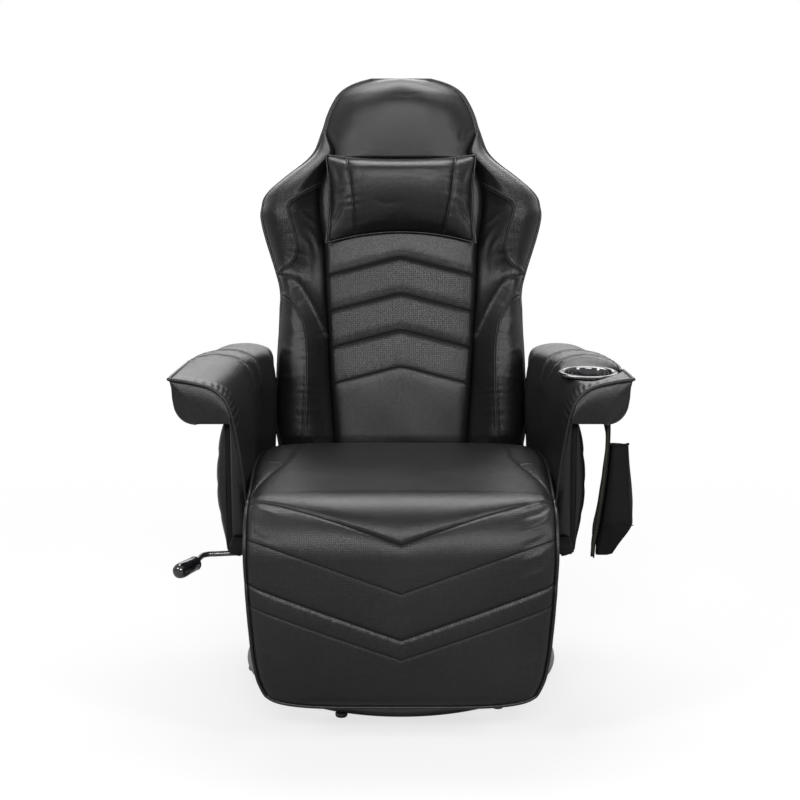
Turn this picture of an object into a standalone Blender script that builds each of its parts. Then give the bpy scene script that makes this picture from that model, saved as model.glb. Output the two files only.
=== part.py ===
"""Gaming recliner: a padded chair with a winged back on a round tube base.

Metres, +Z up. The sitter faces -Y, so the sitter's left is +X. Every piece is laid out round the
swivel axis; the empty recliner_frame then moves the whole chair so that the origin is the centre of
its footprint on the floor.
"""
import math

import bmesh
import bpy
from mathutils import Matrix, Vector

for old_object in list(bpy.data.objects):
    bpy.data.objects.remove(old_object, do_unlink=True)

# Clearances
SEAT_GAP = 0.0003        # between pieces that touch
TURN_GAP = 0.0006        # between plates that turn past each other
PIN_GAP = 0.0004         # round a pin in its hole
OVERRUN = 0.020          # a cutter's reach past what it cuts
MERGE_DISTANCE = 0.00001

# Base
RING_DIAMETER = 0.594
RING_TUBE = 0.0254
RING_SEGMENTS = 48
GLIDE_HEIGHT = 0.008
GLIDE_DIAMETER = 0.022
GLIDE_COUNT = 6
GLIDE_START_DEG = -22.0
CROSS_TURN_DEG = 8.0
CROSS_BAR_WIDTH = 0.040
CROSS_BAR_THICKNESS = 0.008
POST_DIAMETER = 0.060
POST_WALL = 0.004
POST_TOP_Z = 0.262
POST_FLANGE_DIAMETER = 0.130
POST_FLANGE_THICKNESS = 0.006
POST_FLOOR_THICKNESS = 0.018
SPINDLE_DIAMETER = 0.035
BUSH_FLANGE_THICKNESS = 0.003
BUSH_CLEARANCE = 0.0005

# Seat
SEAT_UNDER_Z = 0.330
SEAT_THICKNESS = 0.100
SEAT_CROWN = 0.012
SEAT_HALF_WIDTH = 0.2597
SEAT_REAR_Y = 0.0947
SEAT_EDGE_DROP = 0.014
SEAT_SIDE_TUCK = 0.005
SEAT_BOARD_THICKNESS = 0.015
SEAT_BOARD_FRONT_INSET = 0.010
SEAT_BOARD_REAR_INSET = 0.005

# Knee and leg rest
KNEE_Y = -0.310
KNEE_RADIUS = 0.100
KNEE_SHELL = 0.015
KNEE_PIVOT_RADIUS = 0.066
LEG_PAD_BOTTOM_Z = 0.075
LEG_PAD_THICKNESS = 0.0577
LEG_BOARD_THICKNESS = 0.012
LEG_BOARD_INSET = 0.0277
LEG_BOARD_TOP_Z = 0.320
LEG_BOARD_BOTTOM_Z = 0.110
LEG_ARM_WIDTH = 0.0247
LEG_ARM_BOTTOM_Z = 0.130
LEG_SWING_DEG = 80.0
SEWN_GROOVE = 0.0035
SEWN_GROOVE_HALF_WIDTH = 0.0045

# Steel plates that carry the pivots
PLATE_INSET = 0.0427
PLATE_THICKNESS = 0.004
LINK_THICKNESS = 0.004
BAR_THICKNESS = 0.003
PLATE_BOTTOM_Z = 0.235
EAR_RADIUS = 0.020
KNEE_EAR_RADIUS = 0.014
PIN_DIAMETER = 0.011
PIN_HEAD_DIAMETER = 0.020
PIN_HEAD_THICKNESS = 0.003
CROSS_MEMBER_WIDTH = 0.040
CROSS_MEMBER_HEIGHT = 0.025
FRONT_MEMBER_Y = -0.120
REAR_MEMBER_Y = 0.070
SWIVEL_PLATE_THICKNESS = 0.008
SWIVEL_PLATE_WIDTH = 0.180

# Back
BACK_LEAN_DEG = 16.0
BACK_FOOT_Y = 0.155
BACK_FOOT_Z = 0.400
BACK_LENGTH = 0.735
SHOULDER_OVERHANG = 0.0213
BACK_BOARD_THICKNESS = 0.012
BACK_BOARD_INSET = 0.004
BACK_COVER_DEPTH = 0.034
BACK_COVER_WALL = 0.006
BACK_COVER_CREST_SHARE = 0.985
BACK_RIM_WIDTH = 0.010
CENTER_PAD_FOOT_SHARE = 0.4698
CENTER_PAD_TOP_SHARE = 0.5338
CENTER_PAD_RISE = 0.055
CHANNEL_DEPTH = 0.008
CHANNEL_HALF_WIDTH = 0.009
CHANNEL_SPACING = 0.0725
CHANNEL_TOP_SHARE = 0.4973
CHANNEL_COUNT = 4
CHANNEL_DROP = 0.037
HEADREST_FOOT_SHARE = 0.7973
HEADREST_RISE = 0.062
PAD_EDGE_RISE = 0.016
WING_ROOT_RISE = 0.046
BOLSTER_RISE = 0.088
RECLINE_PIVOT_Y = 0.165
RECLINE_PIVOT_Z = 0.370
RECLINE_DEG = 30.0
BRACKET_HALF_WIDTH = 0.012
BRACKET_REACH = 0.110
HOOP_TUBE = 0.020
HOOP_TOP_SHARE = 0.7075
HOOP_CORNER = 0.060
LEVER_ARM = 0.1242
DRIVE_PIN_DIAMETER = 0.008
DRIVE_BAR_WIDTH = 0.020
DRIVE_BAR_Z = 0.253
SLOT_PLAY = 0.0015
GUIDE_STUD_Y = -0.080
GUIDE_STUD_DIAMETER = 0.010
DRIVE_TUBE_DIAMETER = 0.018
DRIVE_TUBE_Y = 0.150

# Head pillow
PILLOW_DROP = 0.019
PILLOW_LENGTH = 0.175
PILLOW_OVERHANG = 0.001
PILLOW_THICKNESS = 0.072
PILLOW_EDGE_THICKNESS = 0.020
PILLOW_ARCH = 0.018

# Arms
ARM_SEAT_GAP = 0.0023
ARM_WIDTH = 0.1386
ARM_FOOT_Z = 0.332
ARM_RISE = 0.286
ARM_UNDERSIDE_SHARE = 0.703
ARM_FRONT_Y = -0.250
ARM_REAR_Y = 0.190
ARM_WEB_SHARE = 0.243
ARM_FRAME_THICKNESS = 0.010
ARM_FRAME_FOOT_Z = 0.300
ARM_FRAME_TOP_Z = 0.5240
ARM_FRAME_FRONT_Y = -0.225
ARM_FRAME_REAR_Y = 0.120
SIDE_PANEL_BULGE = 0.026
SIDE_PANEL_EDGE = 0.004
SIDE_PANEL_FOOT_Z = 0.291
SIDE_PANEL_HEIGHT = 0.238
CUP_PLACE_SHARE = 0.534
CUP_Y = -0.129
CUP_RIM_DIAMETER = 0.109
CUP_RIM_THICKNESS = 0.006
CUP_RIM_Z = 0.605
CUP_MOUTH_DIAMETER = 0.084
CUP_FOOT_DIAMETER = 0.066
CUP_DEPTH = 0.058
CUP_WALL = 0.0025

# Lever
LEVER_Y = -0.190
LEVER_Z = 0.283
LEVER_ROD_DIAMETER = 0.010
LEVER_TAIL = 0.017
LEVER_REACH = 0.094
LEVER_DROOP = 0.0035
LEVER_FORWARD = 0.040
LEVER_SPLAY = 0.0085
LEVER_GRIP_DIAMETER = 0.028
LEVER_GRIP_LENGTH = 0.060
LEVER_GRIP_BORE = 0.030
LEVER_GRIP_SPLAY_DEG = 25.8
LEVER_BUSH_WALL = 0.0028
CAM_RADIUS = 0.012
CAM_LOBE = 0.0190

# Pouch
POUCH_PLACE_SHARE = 0.7266
POUCH_SLOPE_SHARE = 0.09
POUCH_TOP_Z = 0.482
POUCH_HEIGHT = 0.200
POUCH_TOP_THICKNESS = 0.037
POUCH_BELLY_THICKNESS = 0.0618
POUCH_FOOT_THICKNESS = 0.034
POUCH_FRONT_Y = -0.235
POUCH_WIDTH = 0.160
POUCH_WALL = 0.003
POUCH_CORNER = 0.010
POUCH_FLAP_THICKNESS = 0.010
POUCH_FLAP_WIDTH = 0.150

# Counts that set how fine the round shapes are
TURN_STEPS = 32
PIN_STEPS = 16
EAR_STEPS = 8

# Values worked out from the ones above
ARM_INNER_X = SEAT_HALF_WIDTH + ARM_SEAT_GAP
ARM_FRAME_X = ARM_INNER_X + ARM_WIDTH * ARM_WEB_SHARE + SEAT_GAP
CUP_X = ARM_INNER_X + ARM_WIDTH * CUP_PLACE_SHARE
POUCH_INNER_X = ARM_INNER_X + ARM_WIDTH * POUCH_PLACE_SHARE
LEVER_BEND_X = ARM_INNER_X + LEVER_REACH
PLATE_OUTER_X = SEAT_HALF_WIDTH - PLATE_INSET
SHOULDER_HALF_WIDTH = SEAT_HALF_WIDTH + SHOULDER_OVERHANG
LEG_BOARD_HALF_WIDTH = SEAT_HALF_WIDTH - LEG_BOARD_INSET
LEVER_INNER_X = PLATE_OUTER_X - LEVER_TAIL
CENTER_PAD_FOOT_HALF_WIDTH = SHOULDER_HALF_WIDTH * CENTER_PAD_FOOT_SHARE
CENTER_PAD_TOP_HALF_WIDTH = SHOULDER_HALF_WIDTH * CENTER_PAD_TOP_SHARE
PILLOW_HALF_WIDTH = CENTER_PAD_TOP_HALF_WIDTH + PILLOW_OVERHANG
CHANNEL_TOP_S = BACK_LENGTH * CHANNEL_TOP_SHARE
HEADREST_FOOT_S = BACK_LENGTH * HEADREST_FOOT_SHARE
HOOP_TOP_S = BACK_LENGTH * HOOP_TOP_SHARE
PILLOW_FOOT_S = HEADREST_FOOT_S - PILLOW_DROP - PILLOW_LENGTH
LEAN = math.radians(BACK_LEAN_DEG)
SEAT_TOP_Z = SEAT_UNDER_Z + SEAT_THICKNESS
KNEE_Z = SEAT_TOP_Z - KNEE_RADIUS
KNEE_PIVOT_Y = KNEE_Y - KNEE_PIVOT_RADIUS * math.sqrt(0.5)
KNEE_PIVOT_Z = KNEE_Z + KNEE_PIVOT_RADIUS * math.sqrt(0.5)
LEG_FRONT_Y = KNEE_Y - KNEE_RADIUS
LEG_PAD_REAR_Y = LEG_FRONT_Y + LEG_PAD_THICKNESS
LEG_BOARD_FRONT_Y = LEG_PAD_REAR_Y + SEAT_GAP
LEG_BOARD_REAR_Y = LEG_BOARD_FRONT_Y + LEG_BOARD_THICKNESS
SEAT_BOARD_TOP_Z = SEAT_UNDER_Z - SEAT_GAP
SEAT_BOARD_UNDER_Z = SEAT_BOARD_TOP_Z - SEAT_BOARD_THICKNESS
PLATE_TOP_Z = SEAT_BOARD_UNDER_Z - SEAT_GAP
PLATE_INNER_X = PLATE_OUTER_X - PLATE_THICKNESS
LINK_OUTER_X = PLATE_INNER_X - TURN_GAP
LINK_INNER_X = LINK_OUTER_X - LINK_THICKNESS
BAR_OUTER_X = LINK_INNER_X - TURN_GAP
BAR_INNER_X = BAR_OUTER_X - BAR_THICKNESS
PIN_RADIUS = PIN_DIAMETER / 2
DRIVE_PIN_RADIUS = DRIVE_PIN_DIAMETER / 2
PAD_BACK_RISE = BACK_BOARD_THICKNESS + SEAT_GAP
DRIVE_TRAVEL = 2 * LEVER_ARM * math.sin(math.radians(RECLINE_DEG / 2))
CRANK_ARM = DRIVE_TRAVEL / (2 * math.sin(math.radians(LEG_SWING_DEG / 2)))
REAR_PIN_Y = RECLINE_PIVOT_Y + DRIVE_TRAVEL / 2
REAR_PIN_Z = RECLINE_PIVOT_Z - LEVER_ARM * math.cos(math.radians(RECLINE_DEG / 2))
REAR_PIN_LOW_Z = RECLINE_PIVOT_Z - LEVER_ARM
CRANK_PIN_Y = KNEE_PIVOT_Y + DRIVE_TRAVEL / 2
CRANK_PIN_Z = KNEE_PIVOT_Z - CRANK_ARM * math.cos(math.radians(LEG_SWING_DEG / 2))
CRANK_PIN_LOW_Z = KNEE_PIVOT_Z - CRANK_ARM
POUCH_ROOF_Z = ARM_FOOT_Z + ARM_RISE * ARM_UNDERSIDE_SHARE - SEAT_GAP
POUCH_HINGE_X = POUCH_INNER_X - SEAT_GAP + POUCH_SLOPE_SHARE * (POUCH_ROOF_Z - POUCH_TOP_Z)
SIDES = (("left", 1), ("right", -1))

# Place of the swivel axis from the centre of the footprint. Furthest out stand the right arm and the
# pouch's belly at the sides, and the leg rest's front and the crest of the back's cover along the chair.
POUCH_BELLY_SHARE = 0.34
POUCH_BELLY_LEAN = POUCH_SLOPE_SHARE * POUCH_HEIGHT * (1 - POUCH_BELLY_SHARE)
POUCH_BELLY_X = POUCH_INNER_X - POUCH_BELLY_LEAN + POUCH_BELLY_THICKNESS
COVER_CREST_S = BACK_LENGTH * BACK_COVER_CREST_SHARE
COVER_CREST_Y = BACK_FOOT_Y + COVER_CREST_S * math.sin(LEAN) + BACK_COVER_DEPTH * math.cos(LEAN)
AXIS_X = (ARM_INNER_X + ARM_WIDTH - POUCH_BELLY_X) / 2
AXIS_Y = -(LEG_FRONT_Y + COVER_CREST_Y) / 2


# Collections, materials and the empties that carry the moving bodies

part_collection = bpy.data.collections.new("gaming_recliner")
cutter_collection = bpy.data.collections.new("cutters")
bpy.context.scene.collection.children.link(part_collection)
bpy.context.scene.collection.children.link(cutter_collection)


def make_finish(name, color, roughness, metallic):
    """One Principled material."""
    finish = bpy.data.materials.new(name)
    finish.use_nodes = True
    shader = finish.node_tree.nodes["Principled BSDF"]
    shader.inputs["Base Color"].default_value = (*color, 1.0)
    shader.inputs["Roughness"].default_value = roughness
    shader.inputs["Metallic"].default_value = metallic
    return finish


BLACK_LEATHER = make_finish("black_leather", (0.035, 0.035, 0.037), 0.48, 0.0)
COATED_STEEL = make_finish("coated_steel", (0.020, 0.020, 0.022), 0.38, 0.6)
ZINC_STEEL = make_finish("zinc_steel", (0.55, 0.56, 0.58), 0.35, 1.0)
LEVER_STEEL = make_finish("lever_steel", (0.030, 0.030, 0.032), 0.15, 0.3)
BLACK_PLASTIC = make_finish("black_plastic", (0.030, 0.030, 0.032), 0.45, 0.0)
GLOSS_PLASTIC = make_finish("gloss_plastic", (0.012, 0.012, 0.014), 0.12, 0.0)
PLYWOOD = make_finish("plywood", (0.55, 0.40, 0.24), 0.70, 0.0)
POUCH_FABRIC = make_finish("pouch_fabric", (0.045, 0.045, 0.048), 0.85, 0.0)


def make_empty(name, parent, location):
    empty = bpy.data.objects.new(name, None)
    part_collection.objects.link(empty)
    empty.parent = parent
    empty.location = location
    return empty


recliner_frame = make_empty("recliner_frame", None, (AXIS_X, AXIS_Y, 0))
base_body = make_empty("base_body", recliner_frame, (0, 0, 0))
seat_body = make_empty("seat_body", recliner_frame, (0, 0, 0))
back_body = make_empty("back_body", seat_body, (0, RECLINE_PIVOT_Y, RECLINE_PIVOT_Z))
leg_body = make_empty("leg_rest_body", seat_body, (0, KNEE_PIVOT_Y, KNEE_PIVOT_Z))
drive_body = make_empty("drive_body", seat_body, (0, 0, DRIVE_BAR_Z))
lever_body = make_empty("lever_body", seat_body, (0, LEVER_Y, LEVER_Z))
pouch_body = make_empty("pouch_body", seat_body, (POUCH_HINGE_X, 0, POUCH_ROOF_Z))


# Ways of making a shape

def adopt(obj, body, finish):
    """Give a piece its material and hang it on its body's empty, where it already is."""
    obj.data.materials.clear()
    obj.data.materials.append(finish)
    obj.parent = body
    obj.matrix_parent_inverse = Matrix.Translation(body.location).inverted()
    return obj


def link_mesh(name, mesh, collection=part_collection):
    obj = bpy.data.objects.new(name, mesh)
    collection.objects.link(obj)
    return obj


def smooth(mesh, angle_deg=35.0):
    mesh.shade_smooth()
    mesh.set_sharp_from_angle(angle=math.radians(angle_deg))


def mesh_from(name, points, faces):
    """A closed mesh from a loft's points and faces, with its faces pointing out."""
    mesh = bpy.data.meshes.new(name)
    mesh.from_pydata(points, [], faces)
    shape = bmesh.new()
    shape.from_mesh(mesh)
    bmesh.ops.recalc_face_normals(shape, faces=shape.faces)
    shape.to_mesh(mesh)
    shape.free()
    smooth(mesh)
    return mesh


def two_sheet_mesh(name, front, back):
    """A pad between a front sheet and a back sheet, both rows of as many points."""
    rows = len(front)
    columns = len(front[0])
    points = [point for row in front for point in row] + [point for row in back for point in row]
    offset = rows * columns
    faces = []
    for row in range(rows - 1):
        for column in range(columns - 1):
            corner = row * columns + column
            quad = (corner, corner + 1, corner + columns + 1, corner + columns)
            faces.append(quad)
            faces.append(tuple(offset + index for index in reversed(quad)))
    border = [column for column in range(columns)]
    border += [row * columns + columns - 1 for row in range(1, rows)]
    border += [(rows - 1) * columns + column for column in range(columns - 2, -1, -1)]
    border += [row * columns for row in range(rows - 2, 0, -1)]
    for index, start in enumerate(border):
        end = border[(index + 1) % len(border)]
        faces.append((start, offset + start, offset + end, end))
    return mesh_from(name, points, faces)


def ring_loft_mesh(name, rings):
    """A closed loft through rings of as many points, capped at both ends."""
    count = len(rings[0])
    points = [point for ring in rings for point in ring]
    faces = []
    for ring in range(len(rings) - 1):
        for index in range(count):
            beside = (index + 1) % count
            start = ring * count
            faces.append((start + index, start + beside, start + count + beside, start + count + index))
    faces.append(tuple(range(count)))
    last = (len(rings) - 1) * count
    faces.append(tuple(range(last, last + count)))
    return mesh_from(name, points, faces)


def mesh_from_curve(curve, matrix):
    """Turn a curve into a welded mesh at its place, and drop the curve."""
    holder = bpy.data.objects.new("curve_holder", curve)
    bpy.context.scene.collection.objects.link(holder)
    view = bpy.context.evaluated_depsgraph_get()
    mesh = bpy.data.meshes.new_from_object(holder.evaluated_get(view))
    bpy.data.objects.remove(holder, do_unlink=True)
    shape = bmesh.new()
    shape.from_mesh(mesh)
    bmesh.ops.remove_doubles(shape, verts=shape.verts, dist=MERGE_DISTANCE)
    bmesh.ops.recalc_face_normals(shape, faces=shape.faces)
    shape.to_mesh(mesh)
    shape.free()
    mesh.transform(matrix)
    smooth(mesh)
    return mesh


# Turns an outline drawn as (Y, Z) to stand across the X axis
ACROSS_X = Matrix(((0, 0, 1, 0), (1, 0, 0, 0), (0, 1, 0, 0), (0, 0, 0, 1)))


def plate_mesh(name, outline, holes, thickness, x_mid):
    """A flat plate across the X axis, from an outline and holes given as (Y, Z) points."""
    curve = bpy.data.curves.new(name, "CURVE")
    curve.dimensions = "2D"
    curve.fill_mode = "BOTH"
    curve.extrude = thickness / 2
    for loop in [outline] + holes:
        spline = curve.splines.new("POLY")
        spline.points.add(len(loop) - 1)
        spline.use_cyclic_u = True
        for point, place in zip(spline.points, loop):
            point.co = (place[0], place[1], 0, 1)
    return mesh_from_curve(curve, Matrix.Translation((x_mid, 0, 0)) @ ACROSS_X)


def tube_mesh(name, points, radius, sides=3, cyclic=False):
    """A round bar or tube along a list of points."""
    curve = bpy.data.curves.new(name, "CURVE")
    curve.dimensions = "3D"
    curve.bevel_depth = radius
    curve.bevel_resolution = sides
    curve.use_fill_caps = True
    spline = curve.splines.new("POLY")
    spline.points.add(len(points) - 1)
    spline.use_cyclic_u = cyclic
    for point, place in zip(spline.points, points):
        point.co = (*place, 1)
    return mesh_from_curve(curve, Matrix.Identity(4))


def turned_object(name, profile, steps, collection=part_collection):
    """A turned piece: its half outline as (radius, height), down the outer side."""
    mesh = bpy.data.meshes.new(name)
    edges = [(index, index + 1) for index in range(len(profile) - 1)]
    if profile[0][0] > 0:
        edges.append((len(profile) - 1, 0))
    mesh.from_pydata([(radius, 0, height) for radius, height in profile], edges, [])
    obj = link_mesh(name, mesh, collection)
    screw = obj.modifiers.new("turn", "SCREW")
    screw.steps = steps
    screw.render_steps = steps
    screw.use_merge_vertices = True
    screw.merge_threshold = MERGE_DISTANCE
    screw.use_smooth_shade = False
    return obj


def box_mesh(name, low, high):
    shape = bmesh.new()
    bmesh.ops.create_cube(shape, size=1.0)
    size = [top - bottom for bottom, top in zip(low, high)]
    middle = [(top + bottom) / 2 for bottom, top in zip(low, high)]
    bmesh.ops.scale(shape, vec=size, verts=shape.verts)
    bmesh.ops.translate(shape, vec=middle, verts=shape.verts)
    mesh = bpy.data.meshes.new(name)
    shape.to_mesh(mesh)
    shape.free()
    return mesh


def soften(obj, width, segments=2):
    bevel = obj.modifiers.new("soft_edges", "BEVEL")
    bevel.width = width
    bevel.segments = segments
    bevel.limit_method = "ANGLE"
    return obj


def make_cutter(obj):
    obj.hide_render = True
    obj.display_type = "WIRE"
    return obj


def join_or_cut(target, tool, operation, body):
    """A live Boolean on target with a tool that isn't a piece itself."""
    make_cutter(tool)
    tool.parent = body
    tool.matrix_parent_inverse = Matrix.Translation(body.location).inverted()
    boolean = target.modifiers.new(tool.name, "BOOLEAN")
    boolean.operation = operation
    boolean.object = tool
    boolean.solver = "EXACT"


def pin_tool(name, y, z, x_start, x_end, radius, steps=PIN_STEPS):
    """A plain round bar along X, as a tool for joining or cutting."""
    low, high = min(x_start, x_end), max(x_start, x_end)
    profile = [(0, high - low), (radius, high - low), (radius, 0), (0, 0)]
    tool = turned_object(name, profile, steps, cutter_collection)
    tool.rotation_euler = (0, math.radians(90), 0)
    tool.location = (low, y, z)
    return tool


def arc(center, radius, start_deg, end_deg, steps=EAR_STEPS):
    """Points round a center, as (Y, Z), from one angle to another."""
    points = []
    for step in range(steps + 1):
        angle = math.radians(start_deg + (end_deg - start_deg) * step / steps)
        points.append((center[0] + radius * math.cos(angle), center[1] + radius * math.sin(angle)))
    return points


def round_hole(center, radius, steps=PIN_STEPS):
    return arc(center, radius, 0, 360, steps)[:-1]


def slot_hole(center, half_length, radius, upright):
    """A slot with round ends, upright or lying along Y."""
    reach = half_length - radius
    if upright:
        top = arc((center[0], center[1] + reach), radius, 0, 180)
        return top + arc((center[0], center[1] - reach), radius, 180, 360)
    rear = arc((center[0] + reach, center[1]), radius, -90, 90)
    return rear + arc((center[0] - reach, center[1]), radius, 90, 270)


def read_shares(table, share):
    """Read a table of (share, value) rows with straight lines between its rows."""
    for (low, low_value), (high, high_value) in zip(table, table[1:]):
        if share <= high:
            part = (share - low) / (high - low)
            return low_value + (high_value - low_value) * part
    return table[-1][1]


def mirrored(right_half):
    """Columns across a pad from the ones of its +X half, the first one on the middle line."""
    return [(-share, sink) for share, sink in reversed(right_half[1:])] + list(right_half)


# Base: glides, ring, cross, post and the plastic bush in the post

RING_CENTER_RADIUS = (RING_DIAMETER - RING_TUBE) / 2
RING_CENTER_Z = GLIDE_HEIGHT + SEAT_GAP + RING_TUBE / 2
RING_BORE_RADIUS = (RING_CENTER_RADIUS - RING_TUBE / 2) * math.cos(math.pi / RING_SEGMENTS)


def make_base_ring():
    bpy.ops.mesh.primitive_torus_add(major_radius=RING_CENTER_RADIUS, minor_radius=RING_TUBE / 2,
                                     major_segments=RING_SEGMENTS, minor_segments=12,
                                     location=(0, 0, RING_CENTER_Z))
    ring = bpy.context.object
    ring.name = "base_ring"
    for owner in list(ring.users_collection):
        owner.objects.unlink(ring)
    part_collection.objects.link(ring)
    ring.data.shade_smooth()
    adopt(ring, base_body, COATED_STEEL)


def make_glides():
    foot_radius_share = 0.86
    for index in range(GLIDE_COUNT):
        angle = math.radians(GLIDE_START_DEG + index * 360 / GLIDE_COUNT)
        radius = GLIDE_DIAMETER / 2
        profile = [(0, GLIDE_HEIGHT), (radius, GLIDE_HEIGHT), (radius, GLIDE_HEIGHT / 3),
                   (radius * foot_radius_share, 0), (0, 0)]
        glide = turned_object(f"glide_{index + 1}", profile, PIN_STEPS)
        glide.location = (RING_CENTER_RADIUS * math.sin(angle), -RING_CENTER_RADIUS * math.cos(angle), 0)
        adopt(glide, base_body, BLACK_PLASTIC)


def make_base_cross():
    """Two flat bars across each other, drawn as one outline of four quarters."""
    half = CROSS_BAR_WIDTH / 2
    reach = math.sqrt((RING_BORE_RADIUS - SEAT_GAP) ** 2 - half ** 2)
    outline = []
    for quarter in range(4):
        turn = math.radians(CROSS_TURN_DEG + 90 * quarter)
        for along, across in ((reach, -half), (reach, half), (half, half)):
            x = along * math.cos(turn) - across * math.sin(turn)
            y = along * math.sin(turn) + across * math.cos(turn)
            outline.append((x, y))
    curve = bpy.data.curves.new("base_cross", "CURVE")
    curve.dimensions = "2D"
    curve.fill_mode = "BOTH"
    curve.extrude = CROSS_BAR_THICKNESS / 2
    spline = curve.splines.new("POLY")
    spline.points.add(len(outline) - 1)
    spline.use_cyclic_u = True
    for point, place in zip(spline.points, outline):
        point.co = (*place, 0, 1)
    mesh = mesh_from_curve(curve, Matrix.Translation((0, 0, RING_CENTER_Z)))
    adopt(link_mesh("base_cross", mesh), base_body, COATED_STEEL)


POST_FOOT_Z = RING_CENTER_Z + CROSS_BAR_THICKNESS / 2 + SEAT_GAP
POST_BORE_RADIUS = POST_DIAMETER / 2 - POST_WALL
POST_FLOOR_Z = POST_FOOT_Z + POST_FLOOR_THICKNESS
SPINDLE_RADIUS = SPINDLE_DIAMETER / 2


def make_base_column():
    flange_top = POST_FOOT_Z + POST_FLANGE_THICKNESS
    profile = [(0, POST_FLOOR_Z), (POST_BORE_RADIUS, POST_FLOOR_Z), (POST_BORE_RADIUS, POST_TOP_Z),
               (POST_DIAMETER / 2, POST_TOP_Z), (POST_DIAMETER / 2, flange_top),
               (POST_FLANGE_DIAMETER / 2, flange_top), (POST_FLANGE_DIAMETER / 2, POST_FOOT_Z),
               (0, POST_FOOT_Z)]
    adopt(turned_object("base_column", profile, TURN_STEPS), base_body, COATED_STEEL)


def make_swivel_bush():
    inner = SPINDLE_RADIUS + BUSH_CLEARANCE
    outer = POST_BORE_RADIUS - SEAT_GAP
    foot = POST_FLOOR_Z + SEAT_GAP
    flange_under = POST_TOP_Z + SEAT_GAP
    flange_top = flange_under + BUSH_FLANGE_THICKNESS
    profile = [(inner, foot), (inner, flange_top), (POST_DIAMETER / 2, flange_top),
               (POST_DIAMETER / 2, flange_under), (outer, flange_under), (outer, foot)]
    adopt(turned_object("swivel_bush", profile, TURN_STEPS), base_body, BLACK_PLASTIC)


# Seat frame: spindle, swivel plate, cross members, side plates and pivot pins

MEMBER_UNDER_Z = PLATE_TOP_Z - CROSS_MEMBER_HEIGHT
SWIVEL_PLATE_TOP_Z = MEMBER_UNDER_Z - SEAT_GAP
SWIVEL_PLATE_UNDER_Z = SWIVEL_PLATE_TOP_Z - SWIVEL_PLATE_THICKNESS


def make_swivel():
    collar_top = SWIVEL_PLATE_UNDER_Z - SEAT_GAP
    collar_under = POST_TOP_Z + SEAT_GAP + BUSH_FLANGE_THICKNESS + SEAT_GAP
    foot = POST_FLOOR_Z + SEAT_GAP + SEAT_GAP
    profile = [(0, collar_top), (POST_DIAMETER / 2, collar_top), (POST_DIAMETER / 2, collar_under),
               (SPINDLE_RADIUS, collar_under), (SPINDLE_RADIUS, foot), (0, foot)]
    adopt(turned_object("swivel_spindle", profile, TURN_STEPS), seat_body, ZINC_STEEL)
    front = FRONT_MEMBER_Y - CROSS_MEMBER_WIDTH / 2
    rear = REAR_MEMBER_Y + CROSS_MEMBER_WIDTH / 2
    plate = link_mesh("swivel_plate", box_mesh(
        "swivel_plate", (-SWIVEL_PLATE_WIDTH / 2, front, SWIVEL_PLATE_UNDER_Z),
        (SWIVEL_PLATE_WIDTH / 2, rear, SWIVEL_PLATE_TOP_Z)))
    adopt(plate, seat_body, COATED_STEEL)


def make_cross_members():
    reach = PLATE_INNER_X - SEAT_GAP
    for name, y in (("cross_member_front", FRONT_MEMBER_Y), ("cross_member_rear", REAR_MEMBER_Y)):
        low = (-reach, y - CROSS_MEMBER_WIDTH / 2, MEMBER_UNDER_Z)
        high = (reach, y + CROSS_MEMBER_WIDTH / 2, PLATE_TOP_Z)
        member = link_mesh(name, box_mesh(name, low, high))
        adopt(soften(member, CROSS_MEMBER_HEIGHT / 8), seat_body, COATED_STEEL)


def side_plate_outline():
    """The seat's side plate: an ear at the knee, a straight top under the board, an ear at the back."""
    knee = (KNEE_PIVOT_Y, KNEE_PIVOT_Z)
    back = (RECLINE_PIVOT_Y, RECLINE_PIVOT_Z)
    neck_rear = KNEE_Y - KNEE_EAR_RADIUS / 3
    foot_chamfer = EAR_RADIUS + KNEE_EAR_RADIUS
    points = arc(knee, KNEE_EAR_RADIUS, 200, -20)
    points += [(neck_rear, KNEE_Z), (neck_rear + KNEE_EAR_RADIUS / 3, PLATE_TOP_Z)]
    points += [(SEAT_REAR_Y + EAR_RADIUS, PLATE_TOP_Z)]
    points += arc(back, EAR_RADIUS, 180, 0)
    points += [(RECLINE_PIVOT_Y + EAR_RADIUS, PLATE_TOP_Z - EAR_RADIUS)]
    points += [(RECLINE_PIVOT_Y - EAR_RADIUS / 4, PLATE_BOTTOM_Z)]
    points += [(KNEE_Y + 2 * foot_chamfer, PLATE_BOTTOM_Z)]
    points += [(LEG_BOARD_REAR_Y + KNEE_EAR_RADIUS / 2, PLATE_TOP_Z)]
    points += [(LEG_BOARD_FRONT_Y, LEG_BOARD_TOP_Z + 1.2 * KNEE_EAR_RADIUS)]
    return points


def make_side_plates():
    middle = PLATE_OUTER_X - PLATE_THICKNESS / 2
    pin_hole = PIN_RADIUS + PIN_GAP
    for side, sign in SIDES:
        holes = [round_hole((KNEE_PIVOT_Y, KNEE_PIVOT_Z), pin_hole),
                 round_hole((RECLINE_PIVOT_Y, RECLINE_PIVOT_Z), pin_hole)]
        if side == "right":
            holes.append(round_hole((LEVER_Y, LEVER_Z), LEVER_BUSH_RADIUS + SEAT_GAP))
        name = f"side_plate_{side}"
        mesh = plate_mesh(name, side_plate_outline(), holes, PLATE_THICKNESS, sign * middle)
        plate = link_mesh(name, mesh)
        adopt(plate, seat_body, COATED_STEEL)
        stud = pin_tool(f"guide_stud_{side}", GUIDE_STUD_Y, DRIVE_BAR_Z, sign * middle,
                        sign * (BAR_INNER_X - TURN_GAP), GUIDE_STUD_DIAMETER / 2)
        join_or_cut(plate, stud, "UNION", seat_body)


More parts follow.
